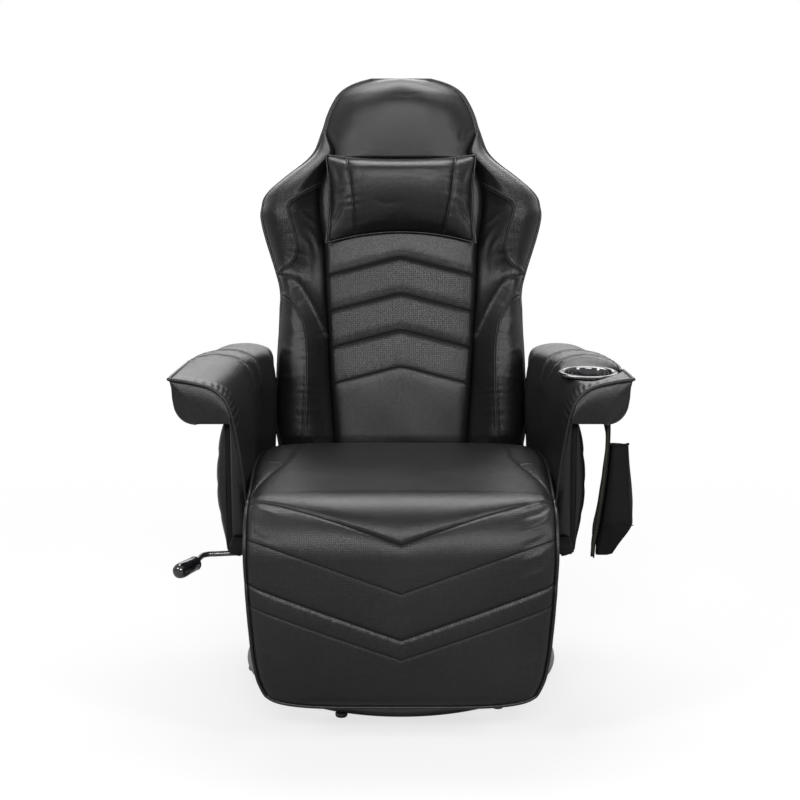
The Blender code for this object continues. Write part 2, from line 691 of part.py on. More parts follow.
def make_pins():
    """Pivot pins with a head on each side of the two plates they join."""
    inner = LINK_INNER_X - SEAT_GAP
    outer = PLATE_OUTER_X + SEAT_GAP
    length = outer - inner + 2 * PIN_HEAD_THICKNESS
    head = PIN_HEAD_DIAMETER / 2
    profile = [(0, length), (head, length), (head, length - PIN_HEAD_THICKNESS),
               (PIN_RADIUS, length - PIN_HEAD_THICKNESS), (PIN_RADIUS, PIN_HEAD_THICKNESS),
               (head, PIN_HEAD_THICKNESS), (head, 0), (0, 0)]
    for side, sign in SIDES:
        for kind, y, z in (("recline_pin", RECLINE_PIVOT_Y, RECLINE_PIVOT_Z),
                           ("knee_pin", KNEE_PIVOT_Y, KNEE_PIVOT_Z)):
            pin = turned_object(f"{kind}_{side}", profile, PIN_STEPS)
            pin.rotation_euler = (0, math.radians(90 * sign), 0)
            pin.location = (sign * (inner - PIN_HEAD_THICKNESS), y, z)
            adopt(pin, seat_body, ZINC_STEEL)


# Seat board and seat cushion

def make_seat_board():
    low = (-(ARM_FRAME_X - SEAT_GAP), KNEE_Y + SEAT_BOARD_FRONT_INSET, SEAT_BOARD_UNDER_Z)
    high = (ARM_FRAME_X - SEAT_GAP, SEAT_REAR_Y - SEAT_BOARD_REAR_INSET, SEAT_BOARD_TOP_Z)
    board = link_mesh("seat_board", box_mesh("seat_board", low, high))
    adopt(board, seat_body, PLYWOOD)


def make_seat_cushion():
    """Crowned along and across, with its sides drawn in under the piped edge."""
    depth = SEAT_REAR_Y - (KNEE_Y + SEAT_GAP)
    crown_along_shares = [(0.0, 0.0), (0.12, 0.4), (0.3, 0.9), (0.5, 1.0), (0.7, 0.75), (0.85, 0.1),
                          (0.95, -0.9), (1.0, -1.8)]
    half_across_shares = [(0.0, 0.0), (0.4, 0.05), (0.72, 0.25), (0.9, 0.55), (1.0, 1.0)]
    top, under = [], []
    for along_share, crown_share in crown_along_shares:
        y = KNEE_Y + SEAT_GAP + depth * along_share
        surface = SEAT_TOP_Z + SEAT_CROWN * crown_share
        waist = (surface + SEAT_UNDER_Z) / 2
        top_row = [(-(SEAT_HALF_WIDTH - SEAT_SIDE_TUCK), y, waist)]
        under_row = [(-(SEAT_HALF_WIDTH - SEAT_SIDE_TUCK), y, SEAT_UNDER_Z)]
        for share, sink_share in mirrored(half_across_shares):
            top_row.append((SEAT_HALF_WIDTH * share, y, surface - SEAT_EDGE_DROP * sink_share))
            under_row.append(((SEAT_HALF_WIDTH - 2 * SEAT_SIDE_TUCK) * share, y, SEAT_UNDER_Z))
        top_row.append((SEAT_HALF_WIDTH - SEAT_SIDE_TUCK, y, waist))
        under_row.append((SEAT_HALF_WIDTH - SEAT_SIDE_TUCK, y, SEAT_UNDER_Z))
        top.append(top_row)
        under.append(under_row)
    mesh = two_sheet_mesh("seat_cushion", top, under)
    adopt(link_mesh("seat_cushion", mesh), seat_body, BLACK_LEATHER)


# Knee pad and leg rest

LEG_PAD_LENGTH = KNEE_Z - LEG_PAD_BOTTOM_Z
CHAISE_EDGE_DROP = 0.010
CHAISE_SIDE_DROP = 0.006
# Half width of the leg rest by its length, as shares of both
leg_width_shares = [(0.0, 1.0), (0.2, 0.992), (0.5, 0.972), (0.7, 0.95), (0.85, 0.90), (0.94, 0.82),
                    (1.0, 0.735)]
# Places across the chaise, as shares of its half width, and how far each is down to the piped edge
chaise_across_shares = [(0.0, 0.0), (0.25, 0.02), (0.5, 0.08), (0.75, 0.25), (0.92, 0.6), (1.0, 1.0)]


def make_knee_pad():
    """Foam and cover bent over the knee, with one sewn V line."""
    start = SEAT_GAP / KNEE_RADIUS
    end = math.pi / 2 - SEAT_GAP / KNEE_RADIUS
    # Each row: where it meets the sides and the middle, as shares of the bend, and its groove
    row_shares = [(0.0, 0.0, 0.0), (0.08, 0.36, 0.0), (0.13, 0.74, 0.0), (0.16, 0.78, 1.0),
                  (0.19, 0.82, 0.0), (0.40, 0.88, 0.0), (0.62, 0.92, 0.0), (0.82, 0.96, 0.0),
                  (1.0, 1.0, 0.0)]
    outer, inner = [], []
    for side_share, middle_share, groove in row_shares:
        outer_row, inner_row = [], []
        for share, sink in mirrored(chaise_across_shares):
            bend_share = middle_share + (side_share - middle_share) * abs(share)
            angle = start + (end - start) * bend_share
            depth = KNEE_RADIUS - CHAISE_SIDE_DROP * sink - SEWN_GROOVE * groove
            inside = KNEE_RADIUS - KNEE_SHELL
            x = SEAT_HALF_WIDTH * share
            forward, up = math.sin(angle), math.cos(angle)
            outer_row.append((x, KNEE_Y - depth * forward, KNEE_Z + depth * up))
            inner_row.append((x, KNEE_Y - inside * forward, KNEE_Z + inside * up))
        outer.append(outer_row)
        inner.append(inner_row)
    mesh = two_sheet_mesh("knee_pad", outer, inner)
    adopt(link_mesh("knee_pad", mesh), leg_body, BLACK_LEATHER)


def make_leg_rest_pad():
    """Hanging cushion with two sewn V lines and round lower corners."""
    length = LEG_PAD_LENGTH - SEAT_GAP
    # Each row: share of the length at the sides, at the middle, and how deep its groove is
    side_first, middle_first = 0.149, 0.522
    side_second, middle_second = 0.288, 0.655
    half_groove = SEWN_GROOVE_HALF_WIDTH / length
    row_shares = [(0.0, 0.0, 0.0), (0.06, 0.26, 0.0),
                  (side_first - half_groove, middle_first - half_groove, 0.0),
                  (side_first, middle_first, 1.0),
                  (side_first + half_groove, middle_first + half_groove, 0.0),
                  (side_second - half_groove, middle_second - half_groove, 0.0),
                  (side_second, middle_second, 0.6),
                  (side_second + half_groove, middle_second + half_groove, 0.0),
                  (0.45, 0.76, 0.0), (0.62, 0.86, 0.0), (0.76, 0.93, 0.0), (0.86, 0.975, 0.0),
                  (0.93, 1.0, 0.0)]
    # A row that bends less than this runs straight across and turns down only near the sides
    straight_share = 0.12
    front, rear = [], []
    for side_share, middle_share, groove in row_shares:
        bend = abs(side_share - middle_share)
        last = middle_share == 1.0
        power = 4 if last or bend < straight_share else 1
        front_row, rear_row = [], []
        for share, sink in mirrored(chaise_across_shares):
            corner = abs(share) ** power
            length_share = middle_share + (side_share - middle_share) * corner
            x = SEAT_HALF_WIDTH * share * read_shares(leg_width_shares, length_share)
            z = KNEE_Z - SEAT_GAP - length * length_share
            sunk = CHAISE_SIDE_DROP * sink + SEWN_GROOVE * groove + (CHAISE_EDGE_DROP if last else 0)
            front_row.append((x, LEG_FRONT_Y + sunk, z))
            rear_row.append((x, LEG_PAD_REAR_Y, z))
        front.append(front_row)
        rear.append(rear_row)
    mesh = two_sheet_mesh("leg_rest_pad", front, rear)
    adopt(link_mesh("leg_rest_pad", mesh), leg_body, BLACK_LEATHER)


def make_leg_rest_board():
    low = (-LEG_BOARD_HALF_WIDTH, LEG_BOARD_FRONT_Y, LEG_BOARD_BOTTOM_Z)
    high = (LEG_BOARD_HALF_WIDTH, LEG_BOARD_REAR_Y, LEG_BOARD_TOP_Z)
    board = link_mesh("leg_rest_board", box_mesh("leg_rest_board", low, high))
    adopt(board, leg_body, PLYWOOD)


def make_leg_arms():
    """Flat steel arms: an ear on the knee pin, a crank pin, and a bar down the board."""
    middle = LINK_OUTER_X - LINK_THICKNESS / 2
    bar_front = LEG_BOARD_REAR_Y + SEAT_GAP
    bar_rear = bar_front + LEG_ARM_WIDTH
    elbow = CRANK_PIN_Y + KNEE_EAR_RADIUS * 0.9
    knee = (KNEE_PIVOT_Y, KNEE_PIVOT_Z)
    outline = arc(knee, KNEE_EAR_RADIUS, 200, 20)
    outline += [(elbow, CRANK_PIN_Z + KNEE_EAR_RADIUS / 2), (elbow, CRANK_PIN_Z - KNEE_EAR_RADIUS)]
    outline += [(bar_rear, LEG_BOARD_TOP_Z - KNEE_EAR_RADIUS), (bar_rear, LEG_ARM_BOTTOM_Z)]
    outline += [(bar_front, LEG_ARM_BOTTOM_Z), (bar_front, LEG_BOARD_TOP_Z + SEAT_GAP)]
    outline += [(KNEE_PIVOT_Y, LEG_BOARD_TOP_Z + KNEE_EAR_RADIUS)]
    for side, sign in SIDES:
        holes = [round_hole(knee, PIN_RADIUS + PIN_GAP)]
        mesh = plate_mesh(f"leg_arm_{side}", outline, holes, LINK_THICKNESS, sign * middle)
        arm = link_mesh(f"leg_arm_{side}", mesh)
        adopt(arm, leg_body, COATED_STEEL)
        pin = pin_tool(f"crank_pin_{side}", CRANK_PIN_Y, CRANK_PIN_Z, sign * middle,
                       sign * (BAR_INNER_X - TURN_GAP), DRIVE_PIN_RADIUS)
        join_or_cut(arm, pin, "UNION", leg_body)


# Drive bars between the back's lower pins and the leg rest's crank pins

def make_drive_bars():
    half = DRIVE_BAR_WIDTH / 2
    crank_slot_z = (CRANK_PIN_Z + CRANK_PIN_LOW_Z) / 2
    crank_slot_half = (CRANK_PIN_Z - CRANK_PIN_LOW_Z) / 2 + DRIVE_PIN_RADIUS + SLOT_PLAY
    rear_slot_z = (REAR_PIN_Z + REAR_PIN_LOW_Z) / 2
    rear_slot_half = (REAR_PIN_Z - REAR_PIN_LOW_Z) / 2 + DRIVE_PIN_RADIUS + SLOT_PLAY
    slot_radius = DRIVE_PIN_RADIUS + SLOT_PLAY
    end_radius = DRIVE_PIN_RADIUS + half * 0.7
    crank_reach = crank_slot_half - slot_radius
    rise_y = KNEE_Y + SEAT_BOARD_FRONT_INSET - 2 * SLOT_PLAY
    outline = arc((REAR_PIN_Y, rear_slot_z), half * 1.2, -90, 90)
    outline += [(REAR_PIN_Y - 2 * half, DRIVE_BAR_Z + half)]
    outline += [(KNEE_Y + 5 * half, DRIVE_BAR_Z + half)]
    outline += [(rise_y, SEAT_BOARD_UNDER_Z - half)]
    outline += arc((CRANK_PIN_Y, crank_slot_z + crank_reach), end_radius, 0, 180)
    outline += [(CRANK_PIN_Y - end_radius, crank_slot_z - crank_slot_half)]
    outline += [(KNEE_Y + 3 * half, DRIVE_BAR_Z - half)]
    outline += [(REAR_PIN_Y - 2 * half, DRIVE_BAR_Z - half)]
    stud_radius = GUIDE_STUD_DIAMETER / 2 + SLOT_PLAY
    stud_half = DRIVE_TRAVEL / 2 + stud_radius
    holes = [slot_hole((CRANK_PIN_Y, crank_slot_z), crank_slot_half, slot_radius, True),
             slot_hole((REAR_PIN_Y, rear_slot_z), rear_slot_half, slot_radius, True),
             slot_hole((GUIDE_STUD_Y + DRIVE_TRAVEL / 2, DRIVE_BAR_Z), stud_half, stud_radius, False)]
    middle = BAR_OUTER_X - BAR_THICKNESS / 2
    for side, sign in SIDES:
        mesh = plate_mesh(f"drive_bar_{side}", outline, holes, BAR_THICKNESS, sign * middle)
        adopt(link_mesh(f"drive_bar_{side}", mesh), drive_body, ZINC_STEEL)
    reach = BAR_INNER_X - SEAT_GAP
    radius = DRIVE_TUBE_DIAMETER / 2
    profile = [(0, 2 * reach), (radius, 2 * reach), (radius, 0), (0, 0)]
    tube = turned_object("drive_cross_tube", profile, PIN_STEPS)
    tube.rotation_euler = (0, math.radians(90), 0)
    tube.location = (-reach, DRIVE_TUBE_Y, DRIVE_BAR_Z)
    adopt(tube, drive_body, COATED_STEEL)


# Back: every point is given by x, its length s up the back and its rise n off the piped edge

def back_point(x, s, rise):
    """A place on the leaning back, in metres."""
    y = BACK_FOOT_Y + s * math.sin(LEAN) - rise * math.cos(LEAN)
    z = BACK_FOOT_Z + s * math.cos(LEAN) + rise * math.sin(LEAN)
    return (x, y, z)


# Half width of the back along its length, as shares of the shoulder half width and the length
back_outline_shares = [
    (0.0, 0.875), (0.03, 0.889), (0.20, 0.889), (0.29, 0.877), (0.36, 0.861), (0.40, 0.855),
    (0.425, 0.862), (0.468, 0.891), (0.512, 0.927), (0.556, 0.963), (0.60, 0.992), (0.622, 1.0),
    (0.644, 0.992), (0.666, 0.979),
    (0.688, 0.937), (0.710, 0.873), (0.7325, 0.801), (0.755, 0.723), (0.777, 0.658), (0.797, 0.618),
    (0.821, 0.592), (0.843, 0.573), (0.866, 0.552), (0.888, 0.536), (0.910, 0.514), (0.932, 0.486),
    (0.955, 0.446), (0.970, 0.400), (0.982, 0.340), (0.992, 0.260), (0.998, 0.190), (1.0, 0.150)]
# Where the bolster's ridge runs between the centre pad and the outline
ridge_shares = [(0.0, 0.47), (0.15, 0.43), (0.22, 0.425), (0.32, 0.50), (0.37, 0.62), (0.45, 0.76),
                (0.49, 0.60), (0.53, 0.50), (0.57, 0.52), (0.62, 0.56), (0.66, 0.45), (0.70, 0.30),
                (0.74, 0.20), (0.80, 0.20)]
ridge_rise_shares = [(0.0, 0.92), (0.2, 1.0), (0.37, 0.9), (0.45, 0.72), (0.53, 0.9), (0.62, 1.0),
                     (0.70, 0.85), (0.80, 0.66)]


def back_half_width(s):
    return SHOULDER_HALF_WIDTH * read_shares(back_outline_shares, s / BACK_LENGTH)


def center_half_width(s):
    taper = min(s / CHANNEL_TOP_S, 1.0)
    return CENTER_PAD_FOOT_HALF_WIDTH + (CENTER_PAD_TOP_HALF_WIDTH - CENTER_PAD_FOOT_HALF_WIDTH) * taper


def make_center_pad():
    """Middle cushion: four soft channels, each an upturned V."""
    rows = [(0.0, 0.0, 0.0, 0.5), (0.02 * BACK_LENGTH, 0.0, 0.0, 0.9), (0.10 * BACK_LENGTH, 0.0, 0.0, 1.0)]
    for index in reversed(range(CHANNEL_COUNT)):
        peak = CHANNEL_TOP_S - index * CHANNEL_SPACING
        if index < CHANNEL_COUNT - 1:
            rows.append((peak - CHANNEL_SPACING / 2, CHANNEL_DROP, 0.0, 1.0))
        rows.append((peak - CHANNEL_HALF_WIDTH, CHANNEL_DROP, 0.25, 1.0))
        rows.append((peak, CHANNEL_DROP, 1.0, 1.0))
        rows.append((peak + CHANNEL_HALF_WIDTH, CHANNEL_DROP, 0.25, 1.0))
    crossing = CHANNEL_TOP_S + CHANNEL_SPACING
    rows += [(crossing, 0.0, 0.0, 1.0), (HEADREST_FOOT_S - 2 * CHANNEL_HALF_WIDTH, 0.0, 0.0, 1.0),
             (HEADREST_FOOT_S - SEAT_GAP, 0.0, 0.0, 0.75)]
    half_across_shares = [(0.0, 0.0), (0.33, 0.02), (0.66, 0.06), (0.88, 0.18), (0.97, 0.45), (1.0, 0.85)]
    front, rear = [], []
    for peak, drop, channel, fullness in rows:
        front_row, rear_row = [], []
        for share, sink in mirrored(half_across_shares):
            s = peak - drop * abs(share)
            x = (center_half_width(s) - SEAT_GAP) * share
            swell = (CENTER_PAD_RISE - PAD_BACK_RISE) * (1 - (1 - fullness) * 0.6)
            rise = PAD_BACK_RISE + swell - CHANNEL_DEPTH * max(channel, sink)
            front_row.append(back_point(x, s, rise))
            rear_row.append(back_point(x, s, PAD_BACK_RISE))
        front.append(front_row)
        rear.append(rear_row)
    mesh = two_sheet_mesh("back_center_pad", front, rear)
    adopt(link_mesh("back_center_pad", mesh), back_body, BLACK_LEATHER)


def wing_rise(share, ridge, top_rise):
    """Rise of the wing between its root at the centre pad and the piped outline."""
    if share <= ridge:
        climb = share / ridge
        return WING_ROOT_RISE + (top_rise - WING_ROOT_RISE) * climb * climb * (3 - 2 * climb)
    fall = (share - ridge) / (1 - ridge)
    return PAD_EDGE_RISE + (top_rise - PAD_EDGE_RISE) * math.sqrt(max(0.0, 1 - fall ** 2.4))


def make_wings():
    row_shares = [0.0, 0.015, 0.05, 0.12, 0.20, 0.27, 0.33, 0.37, 0.41, 0.45, 0.49, 0.53, 0.57, 0.60,
                  0.622, 0.645, 0.666, 0.69, 0.71, 0.7325, 0.755, 0.777]
    top_share = (HEADREST_FOOT_S - SEAT_GAP) / BACK_LENGTH
    for side, sign in SIDES:
        front, rear = [], []
        for row_share in row_shares + [top_share]:
            s = BACK_LENGTH * row_share
            root = center_half_width(s) + SEAT_GAP
            width = back_half_width(s) - root
            ridge = read_shares(ridge_shares, row_share)
            fullness = 0.55 if row_share in (0.0, top_share) else 1.0
            top_rise = BOLSTER_RISE * read_shares(ridge_rise_shares, row_share) * fullness
            across = [0.0, ridge / 3, 2 * ridge / 3, ridge, ridge + (1 - ridge) * 0.4,
                      ridge + (1 - ridge) * 0.75, ridge + (1 - ridge) * 0.93, 1.0]
            front_row, rear_row = [], []
            for share in across:
                x = sign * (root + width * share)
                front_row.append(back_point(x, s, wing_rise(share, ridge, top_rise)))
                rear_row.append(back_point(x, s, PAD_BACK_RISE))
            front.append(front_row)
            rear.append(rear_row)
        mesh = two_sheet_mesh(f"back_wing_{side}", front, rear)
        adopt(link_mesh(f"back_wing_{side}", mesh), back_body, BLACK_LEATHER)


def make_headrest():
    row_shares = [0.821, 0.843, 0.866, 0.888, 0.910, 0.932, 0.955, 0.970, 0.982, 0.992, 1.0]
    half_across_shares = [(0.0, 0.0), (0.3, 0.0), (0.6, 0.05), (0.8, 0.2), (0.93, 0.5), (1.0, 1.0)]
    foot_share = HEADREST_FOOT_S / BACK_LENGTH
    front, rear = [], []
    for row_share in [foot_share] + row_shares:
        s = BACK_LENGTH * row_share
        up = (row_share - foot_share) / (1 - foot_share)
        swell = min(1.0, 0.86 + up) * math.sqrt(max(0.0, 1 - max(0.0, up - 0.3) ** 3 / 0.343))
        front_row, rear_row = [], []
        for share, sink in mirrored(half_across_shares):
            x = back_half_width(s) * share
            full = PAD_EDGE_RISE + (HEADREST_RISE - PAD_EDGE_RISE) * swell * (1 - sink)
            front_row.append(back_point(x, s, full))
            rear_row.append(back_point(x, s, PAD_BACK_RISE))
        front.append(front_row)
        rear.append(rear_row)
    mesh = two_sheet_mesh("headrest_pad", front, rear)
    adopt(link_mesh("headrest_pad", mesh), back_body, BLACK_LEATHER)


def make_head_pillow():
    """Loose pillow with an arched foot and two upright seams."""
    row_shares = [(0.0, 0.0), (0.06, 0.55), (0.18, 0.85), (0.4, 1.0), (0.6, 1.0), (0.82, 0.8), (0.95, 0.5),
                  (1.0, 0.0)]
    # Share of the half width and of the thickness; the dip is the upright seam
    half_across_shares = [(0.0, 1.0), (0.3, 0.99), (0.55, 0.95), (0.63, 0.90), (0.67, 0.80), (0.71, 0.88),
                          (0.85, 0.72), (0.95, 0.42), (1.0, 0.0)]
    back_rise = CENTER_PAD_RISE + SEAT_GAP
    front, rear = [], []
    for row_share, fullness in row_shares:
        front_row, rear_row = [], []
        for share, thickness_share in mirrored(half_across_shares):
            arch = PILLOW_ARCH * (1 - share ** 2) * (1 - row_share)
            sag = PILLOW_ARCH / 2 * (1 - share ** 2) * row_share
            s = PILLOW_FOOT_S + PILLOW_LENGTH * row_share + arch - sag
            swell = (PILLOW_THICKNESS - PILLOW_EDGE_THICKNESS) * fullness * thickness_share
            rise = back_rise + PILLOW_EDGE_THICKNESS + swell
            front_row.append(back_point(PILLOW_HALF_WIDTH * share, s, rise))
            rear_row.append(back_point(PILLOW_HALF_WIDTH * share, s, back_rise))
        front.append(front_row)
        rear.append(rear_row)
    mesh = two_sheet_mesh("head_pillow", front, rear)
    adopt(link_mesh("head_pillow", mesh), back_body, BLACK_LEATHER)


def make_back_board():
    front, rear = [], []
    row_shares = [0.02, 0.20, 0.36, 0.40, 0.468, 0.556, 0.622, 0.666, 0.688, 0.7325, 0.777, 0.821, 0.888,
                  0.932, 0.970, 0.985]
    for row_share in row_shares:
        s = BACK_LENGTH * row_share
        half = back_half_width(s) - BACK_BOARD_INSET
        front.append([back_point(half * share, s, BACK_BOARD_THICKNESS) for share in (-1.0, 0.0, 1.0)])
        rear.append([back_point(half * share, s, 0.0) for share in (-1.0, 0.0, 1.0)])
    mesh = two_sheet_mesh("back_board", front, rear)
    adopt(link_mesh("back_board", mesh), back_body, PLYWOOD)


def make_back_cover():
    """Rear shell: a shallow tray whose rim meets the board, open at its foot for the brackets."""
    row_shares = [0.0, 0.20, 0.36, 0.40, 0.468, 0.512, 0.556, 0.60, 0.622, 0.644, 0.666, 0.688, 0.710,
                  0.7325, 0.755, 0.777, 0.797, 0.821, 0.866, 0.910, 0.955]
    end_share = 0.995
    # Section of the rear face, as shares of the half width and of the depth
    rear_section_shares = [(0.0, 1.0), (0.6, 1.0), (0.88, 0.97), (0.97, 0.75), (1.0, 0.3)]
    inner_floor = -(BACK_COVER_DEPTH - BACK_COVER_WALL)
    front, rear = [], []
    for row_share in row_shares + [BACK_COVER_CREST_SHARE, end_share]:
        s = BACK_LENGTH * row_share
        half = back_half_width(s)
        rim = half - BACK_RIM_WIDTH
        wall_foot = rim - BACK_COVER_WALL / 2
        at_top = row_share >= BACK_COVER_CREST_SHARE
        floor = -SEAT_GAP if at_top else inner_floor
        depth = BACK_COVER_WALL if row_share == end_share else BACK_COVER_DEPTH
        front_half = [(0.0, floor), (wall_foot / 2, floor), (wall_foot, floor), (rim, -SEAT_GAP),
                      (half, -SEAT_GAP)]
        rear_half = [(half * share, -depth * depth_share) for share, depth_share in rear_section_shares]
        for rows, half_row in ((front, front_half), (rear, rear_half)):
            row = [back_point(-x, s, rise) for x, rise in reversed(half_row[1:])]
            rows.append(row + [back_point(x, s, rise) for x, rise in half_row])
    mesh = two_sheet_mesh("back_cover", front, rear)
    adopt(link_mesh("back_cover", mesh), back_body, BLACK_LEATHER)


HOOP_X = LINK_INNER_X - SEAT_GAP - HOOP_TUBE / 2
HOOP_RISE = -(SEAT_GAP + HOOP_TUBE / 2)


def make_back_frame():
    """Steel hoop between the brackets."""
    foot = BACK_BOARD_INSET * 4
    corner_center = (HOOP_X - HOOP_CORNER, HOOP_TOP_S - HOOP_CORNER)
    path = [(HOOP_X, foot)] + arc(corner_center, HOOP_CORNER, 0, 90, EAR_STEPS)
    path += [(-x, s) for x, s in reversed(path)]
    mesh = tube_mesh("back_frame", [back_point(x, s, HOOP_RISE) for x, s in path], HOOP_TUBE / 2)
    adopt(link_mesh("back_frame", mesh), back_body, COATED_STEEL)


def make_back_brackets():
    """Plates from the hoop to the recline pins and down to the drive pins."""
    middle = LINK_OUTER_X - LINK_THICKNESS / 2
    pivot = Vector((RECLINE_PIVOT_Y, RECLINE_PIVOT_Z))
    drive = Vector((REAR_PIN_Y, REAR_PIN_Z))
    down = (drive - pivot).normalized()
    across = Vector((-down.y, down.x))
    bearing_deg = math.degrees(math.atan2(across.y, across.x))
    eye_share = 2.6
    ear_share = 0.9
    front_rise = -BACK_BOARD_THICKNESS / 6
    rear_rise = front_rise - 2 * BRACKET_HALF_WIDTH
    outline = [back_point(0, BRACKET_REACH, front_rise)[1:], back_point(0, BRACKET_REACH, rear_rise)[1:],
               back_point(0, -BACK_BOARD_INSET, rear_rise)[1:]]
    outline += [tuple(pivot + across * EAR_RADIUS * ear_share)]
    outline += arc(tuple(drive), DRIVE_PIN_RADIUS * eye_share, bearing_deg, bearing_deg - 180)
    outline += [tuple(pivot - across * EAR_RADIUS * ear_share), back_point(0, 0, front_rise)[1:]]
    for side, sign in SIDES:
        holes = [round_hole(tuple(pivot), PIN_RADIUS + PIN_GAP)]
        mesh = plate_mesh(f"back_bracket_{side}", outline, holes, LINK_THICKNESS, sign * middle)
        bracket = link_mesh(f"back_bracket_{side}", mesh)
        adopt(bracket, back_body, COATED_STEEL)
        pin = pin_tool(f"drive_pin_{side}", REAR_PIN_Y, REAR_PIN_Z, sign * middle,
                       sign * (BAR_INNER_X - TURN_GAP), DRIVE_PIN_RADIUS)
        join_or_cut(bracket, pin, "UNION", back_body)


# Arms: inner panel and overhanging top in one pad, its frame board, and the bulged panel outside it

# Section of the arm at its front, middle and rear, as shares of its width and its rise, from the foot
# of the inner face over the top to the foot of the outer face; the flat underside and the outer face of
# the inner panel are the same in all three
arm_under_shares = [(0.45, ARM_UNDERSIDE_SHARE), (ARM_WEB_SHARE, ARM_UNDERSIDE_SHARE), (ARM_WEB_SHARE, 0.0)]
arm_front_shares = [
    (0.0, 0.0), (0.072, 0.273), (0.130, 0.504), (0.180, 0.647), (0.238, 0.771), (0.317, 0.857),
    (0.483, 0.923), (0.729, 0.955), (1.0, 0.962), (0.974, 0.902), (0.967, 0.851), (0.935, 0.801),
    (0.873, 0.759), (0.775, ARM_UNDERSIDE_SHARE)] + arm_under_shares
arm_middle_shares = [
    (0.0, 0.0), (0.007, 0.273), (0.007, 0.504), (0.014, 0.647), (0.036, 0.771), (0.108, 0.885),
    (0.253, 0.950), (0.527, 0.980), (0.80, 0.955), (0.938, 0.909), (0.970, 0.850), (0.938, 0.79),
    (0.866, 0.748), (0.770, ARM_UNDERSIDE_SHARE)] + arm_under_shares
arm_rear_shares = [
    (0.0, 0.0), (-0.01, 0.273), (-0.02, 0.504), (-0.02, 0.647), (-0.01, 0.771), (0.06, 0.870),
    (0.20, 0.925), (0.42, 0.940), (0.64, 0.910), (0.80, 0.865), (0.865, 0.820), (0.855, 0.775),
    (0.80, 0.745), (0.72, ARM_UNDERSIDE_SHARE)] + arm_under_shares
# Stations along the arm: share of its length, then the weight of each of the three sections
arm_station_shares = [(0.0, 1.0, 0.0, 0.0), (0.08, 0.72, 0.28, 0.0), (0.18, 0.35, 0.65, 0.0),
                      (0.32, 0.05, 0.95, 0.0), (0.50, 0.0, 1.0, 0.0), (0.68, 0.0, 0.6, 0.4),
                      (0.84, 0.0, 0.15, 0.85), (0.96, 0.0, 0.0, 1.0), (1.0, 0.0, 0.0, 1.0)]
# The rear end is drawn in a little towards the inner panel, and its top drops
arm_end_width_share = 0.93
arm_end_drop_share = 0.03
arm_top_share = 0.72


def arm_ring(sign, station):
    length_share, front_weight, middle_weight, rear_weight = station
    y = ARM_FRONT_Y + (ARM_REAR_Y - ARM_FRONT_Y) * length_share
    points = []
    for front, middle, rear in zip(arm_front_shares, arm_middle_shares, arm_rear_shares):
        across = front[0] * front_weight + middle[0] * middle_weight + rear[0] * rear_weight
        up = front[1] * front_weight + middle[1] * middle_weight + rear[1] * rear_weight
        if length_share == 1.0:
            across = ARM_WEB_SHARE + (across - ARM_WEB_SHARE) * arm_end_width_share
            up = up - arm_end_drop_share if up > arm_top_share else up
        points.append((sign * (ARM_INNER_X + ARM_WIDTH * across), y, ARM_FOOT_Z + ARM_RISE * up))
    return points


def make_arm_pads():
    for side, sign in SIDES:
        rings = [arm_ring(sign, station) for station in arm_station_shares]
        pad = link_mesh(f"arm_pad_{side}", ring_loft_mesh(f"arm_pad_{side}", rings))
        adopt(pad, seat_body, BLACK_LEATHER)
        if side == "left":
            join_or_cut(pad, cup_pocket_tool(), "DIFFERENCE", seat_body)


def make_arm_frames():
    for side, sign in SIDES:
        inner = sign * ARM_FRAME_X
        outer = sign * (ARM_FRAME_X + ARM_FRAME_THICKNESS)
        low = (min(inner, outer), ARM_FRAME_FRONT_Y, ARM_FRAME_FOOT_Z)
        high = (max(inner, outer), ARM_FRAME_REAR_Y, ARM_FRAME_TOP_Z)
        board = link_mesh(f"arm_frame_{side}", box_mesh(f"arm_frame_{side}", low, high))
        adopt(board, seat_body, PLYWOOD)


def make_side_panels():
    """Bulged panel under the arm: fullest a little above half height, rounded to its edges."""
    # Share of the height and of the bulge
    height_shares = [(0.0, 0.0), (0.03, 0.42), (0.12, 0.66), (0.25, 0.88), (0.42, 1.0), (0.6, 0.98),
                     (0.8, 0.86), (0.93, 0.66), (0.98, 0.42), (1.0, 0.0)]
    length_shares = [(0.0, 0.0), (0.025, 0.5), (0.09, 0.85), (0.22, 1.0), (0.55, 1.0), (0.85, 0.85),
                     (0.97, 0.5), (1.0, 0.0)]
    panel_x = ARM_FRAME_X + ARM_FRAME_THICKNESS + SEAT_GAP
    panel_length = ARM_FRAME_REAR_Y - ARM_FRAME_FRONT_Y
    for side, sign in SIDES:
        outer, inner = [], []
        for height_share, height_bulge in height_shares:
            z = SIDE_PANEL_FOOT_Z + SIDE_PANEL_HEIGHT * height_share
            outer_row, inner_row = [], []
            for length_share, length_bulge in length_shares:
                y = ARM_FRAME_FRONT_Y + panel_length * length_share
                fullness = min(height_bulge, length_bulge)
                bulge = SIDE_PANEL_EDGE + (SIDE_PANEL_BULGE - SIDE_PANEL_EDGE) * fullness
                outer_row.append((sign * (panel_x + bulge), y, z))
                inner_row.append((sign * panel_x, y, z))
            outer.append(outer_row)
            inner.append(inner_row)
        mesh = two_sheet_mesh(f"side_panel_{side}", outer, inner)
        adopt(link_mesh(f"side_panel_{side}", mesh), seat_body, BLACK_LEATHER)


# Cup holder, and the pocket it sits in

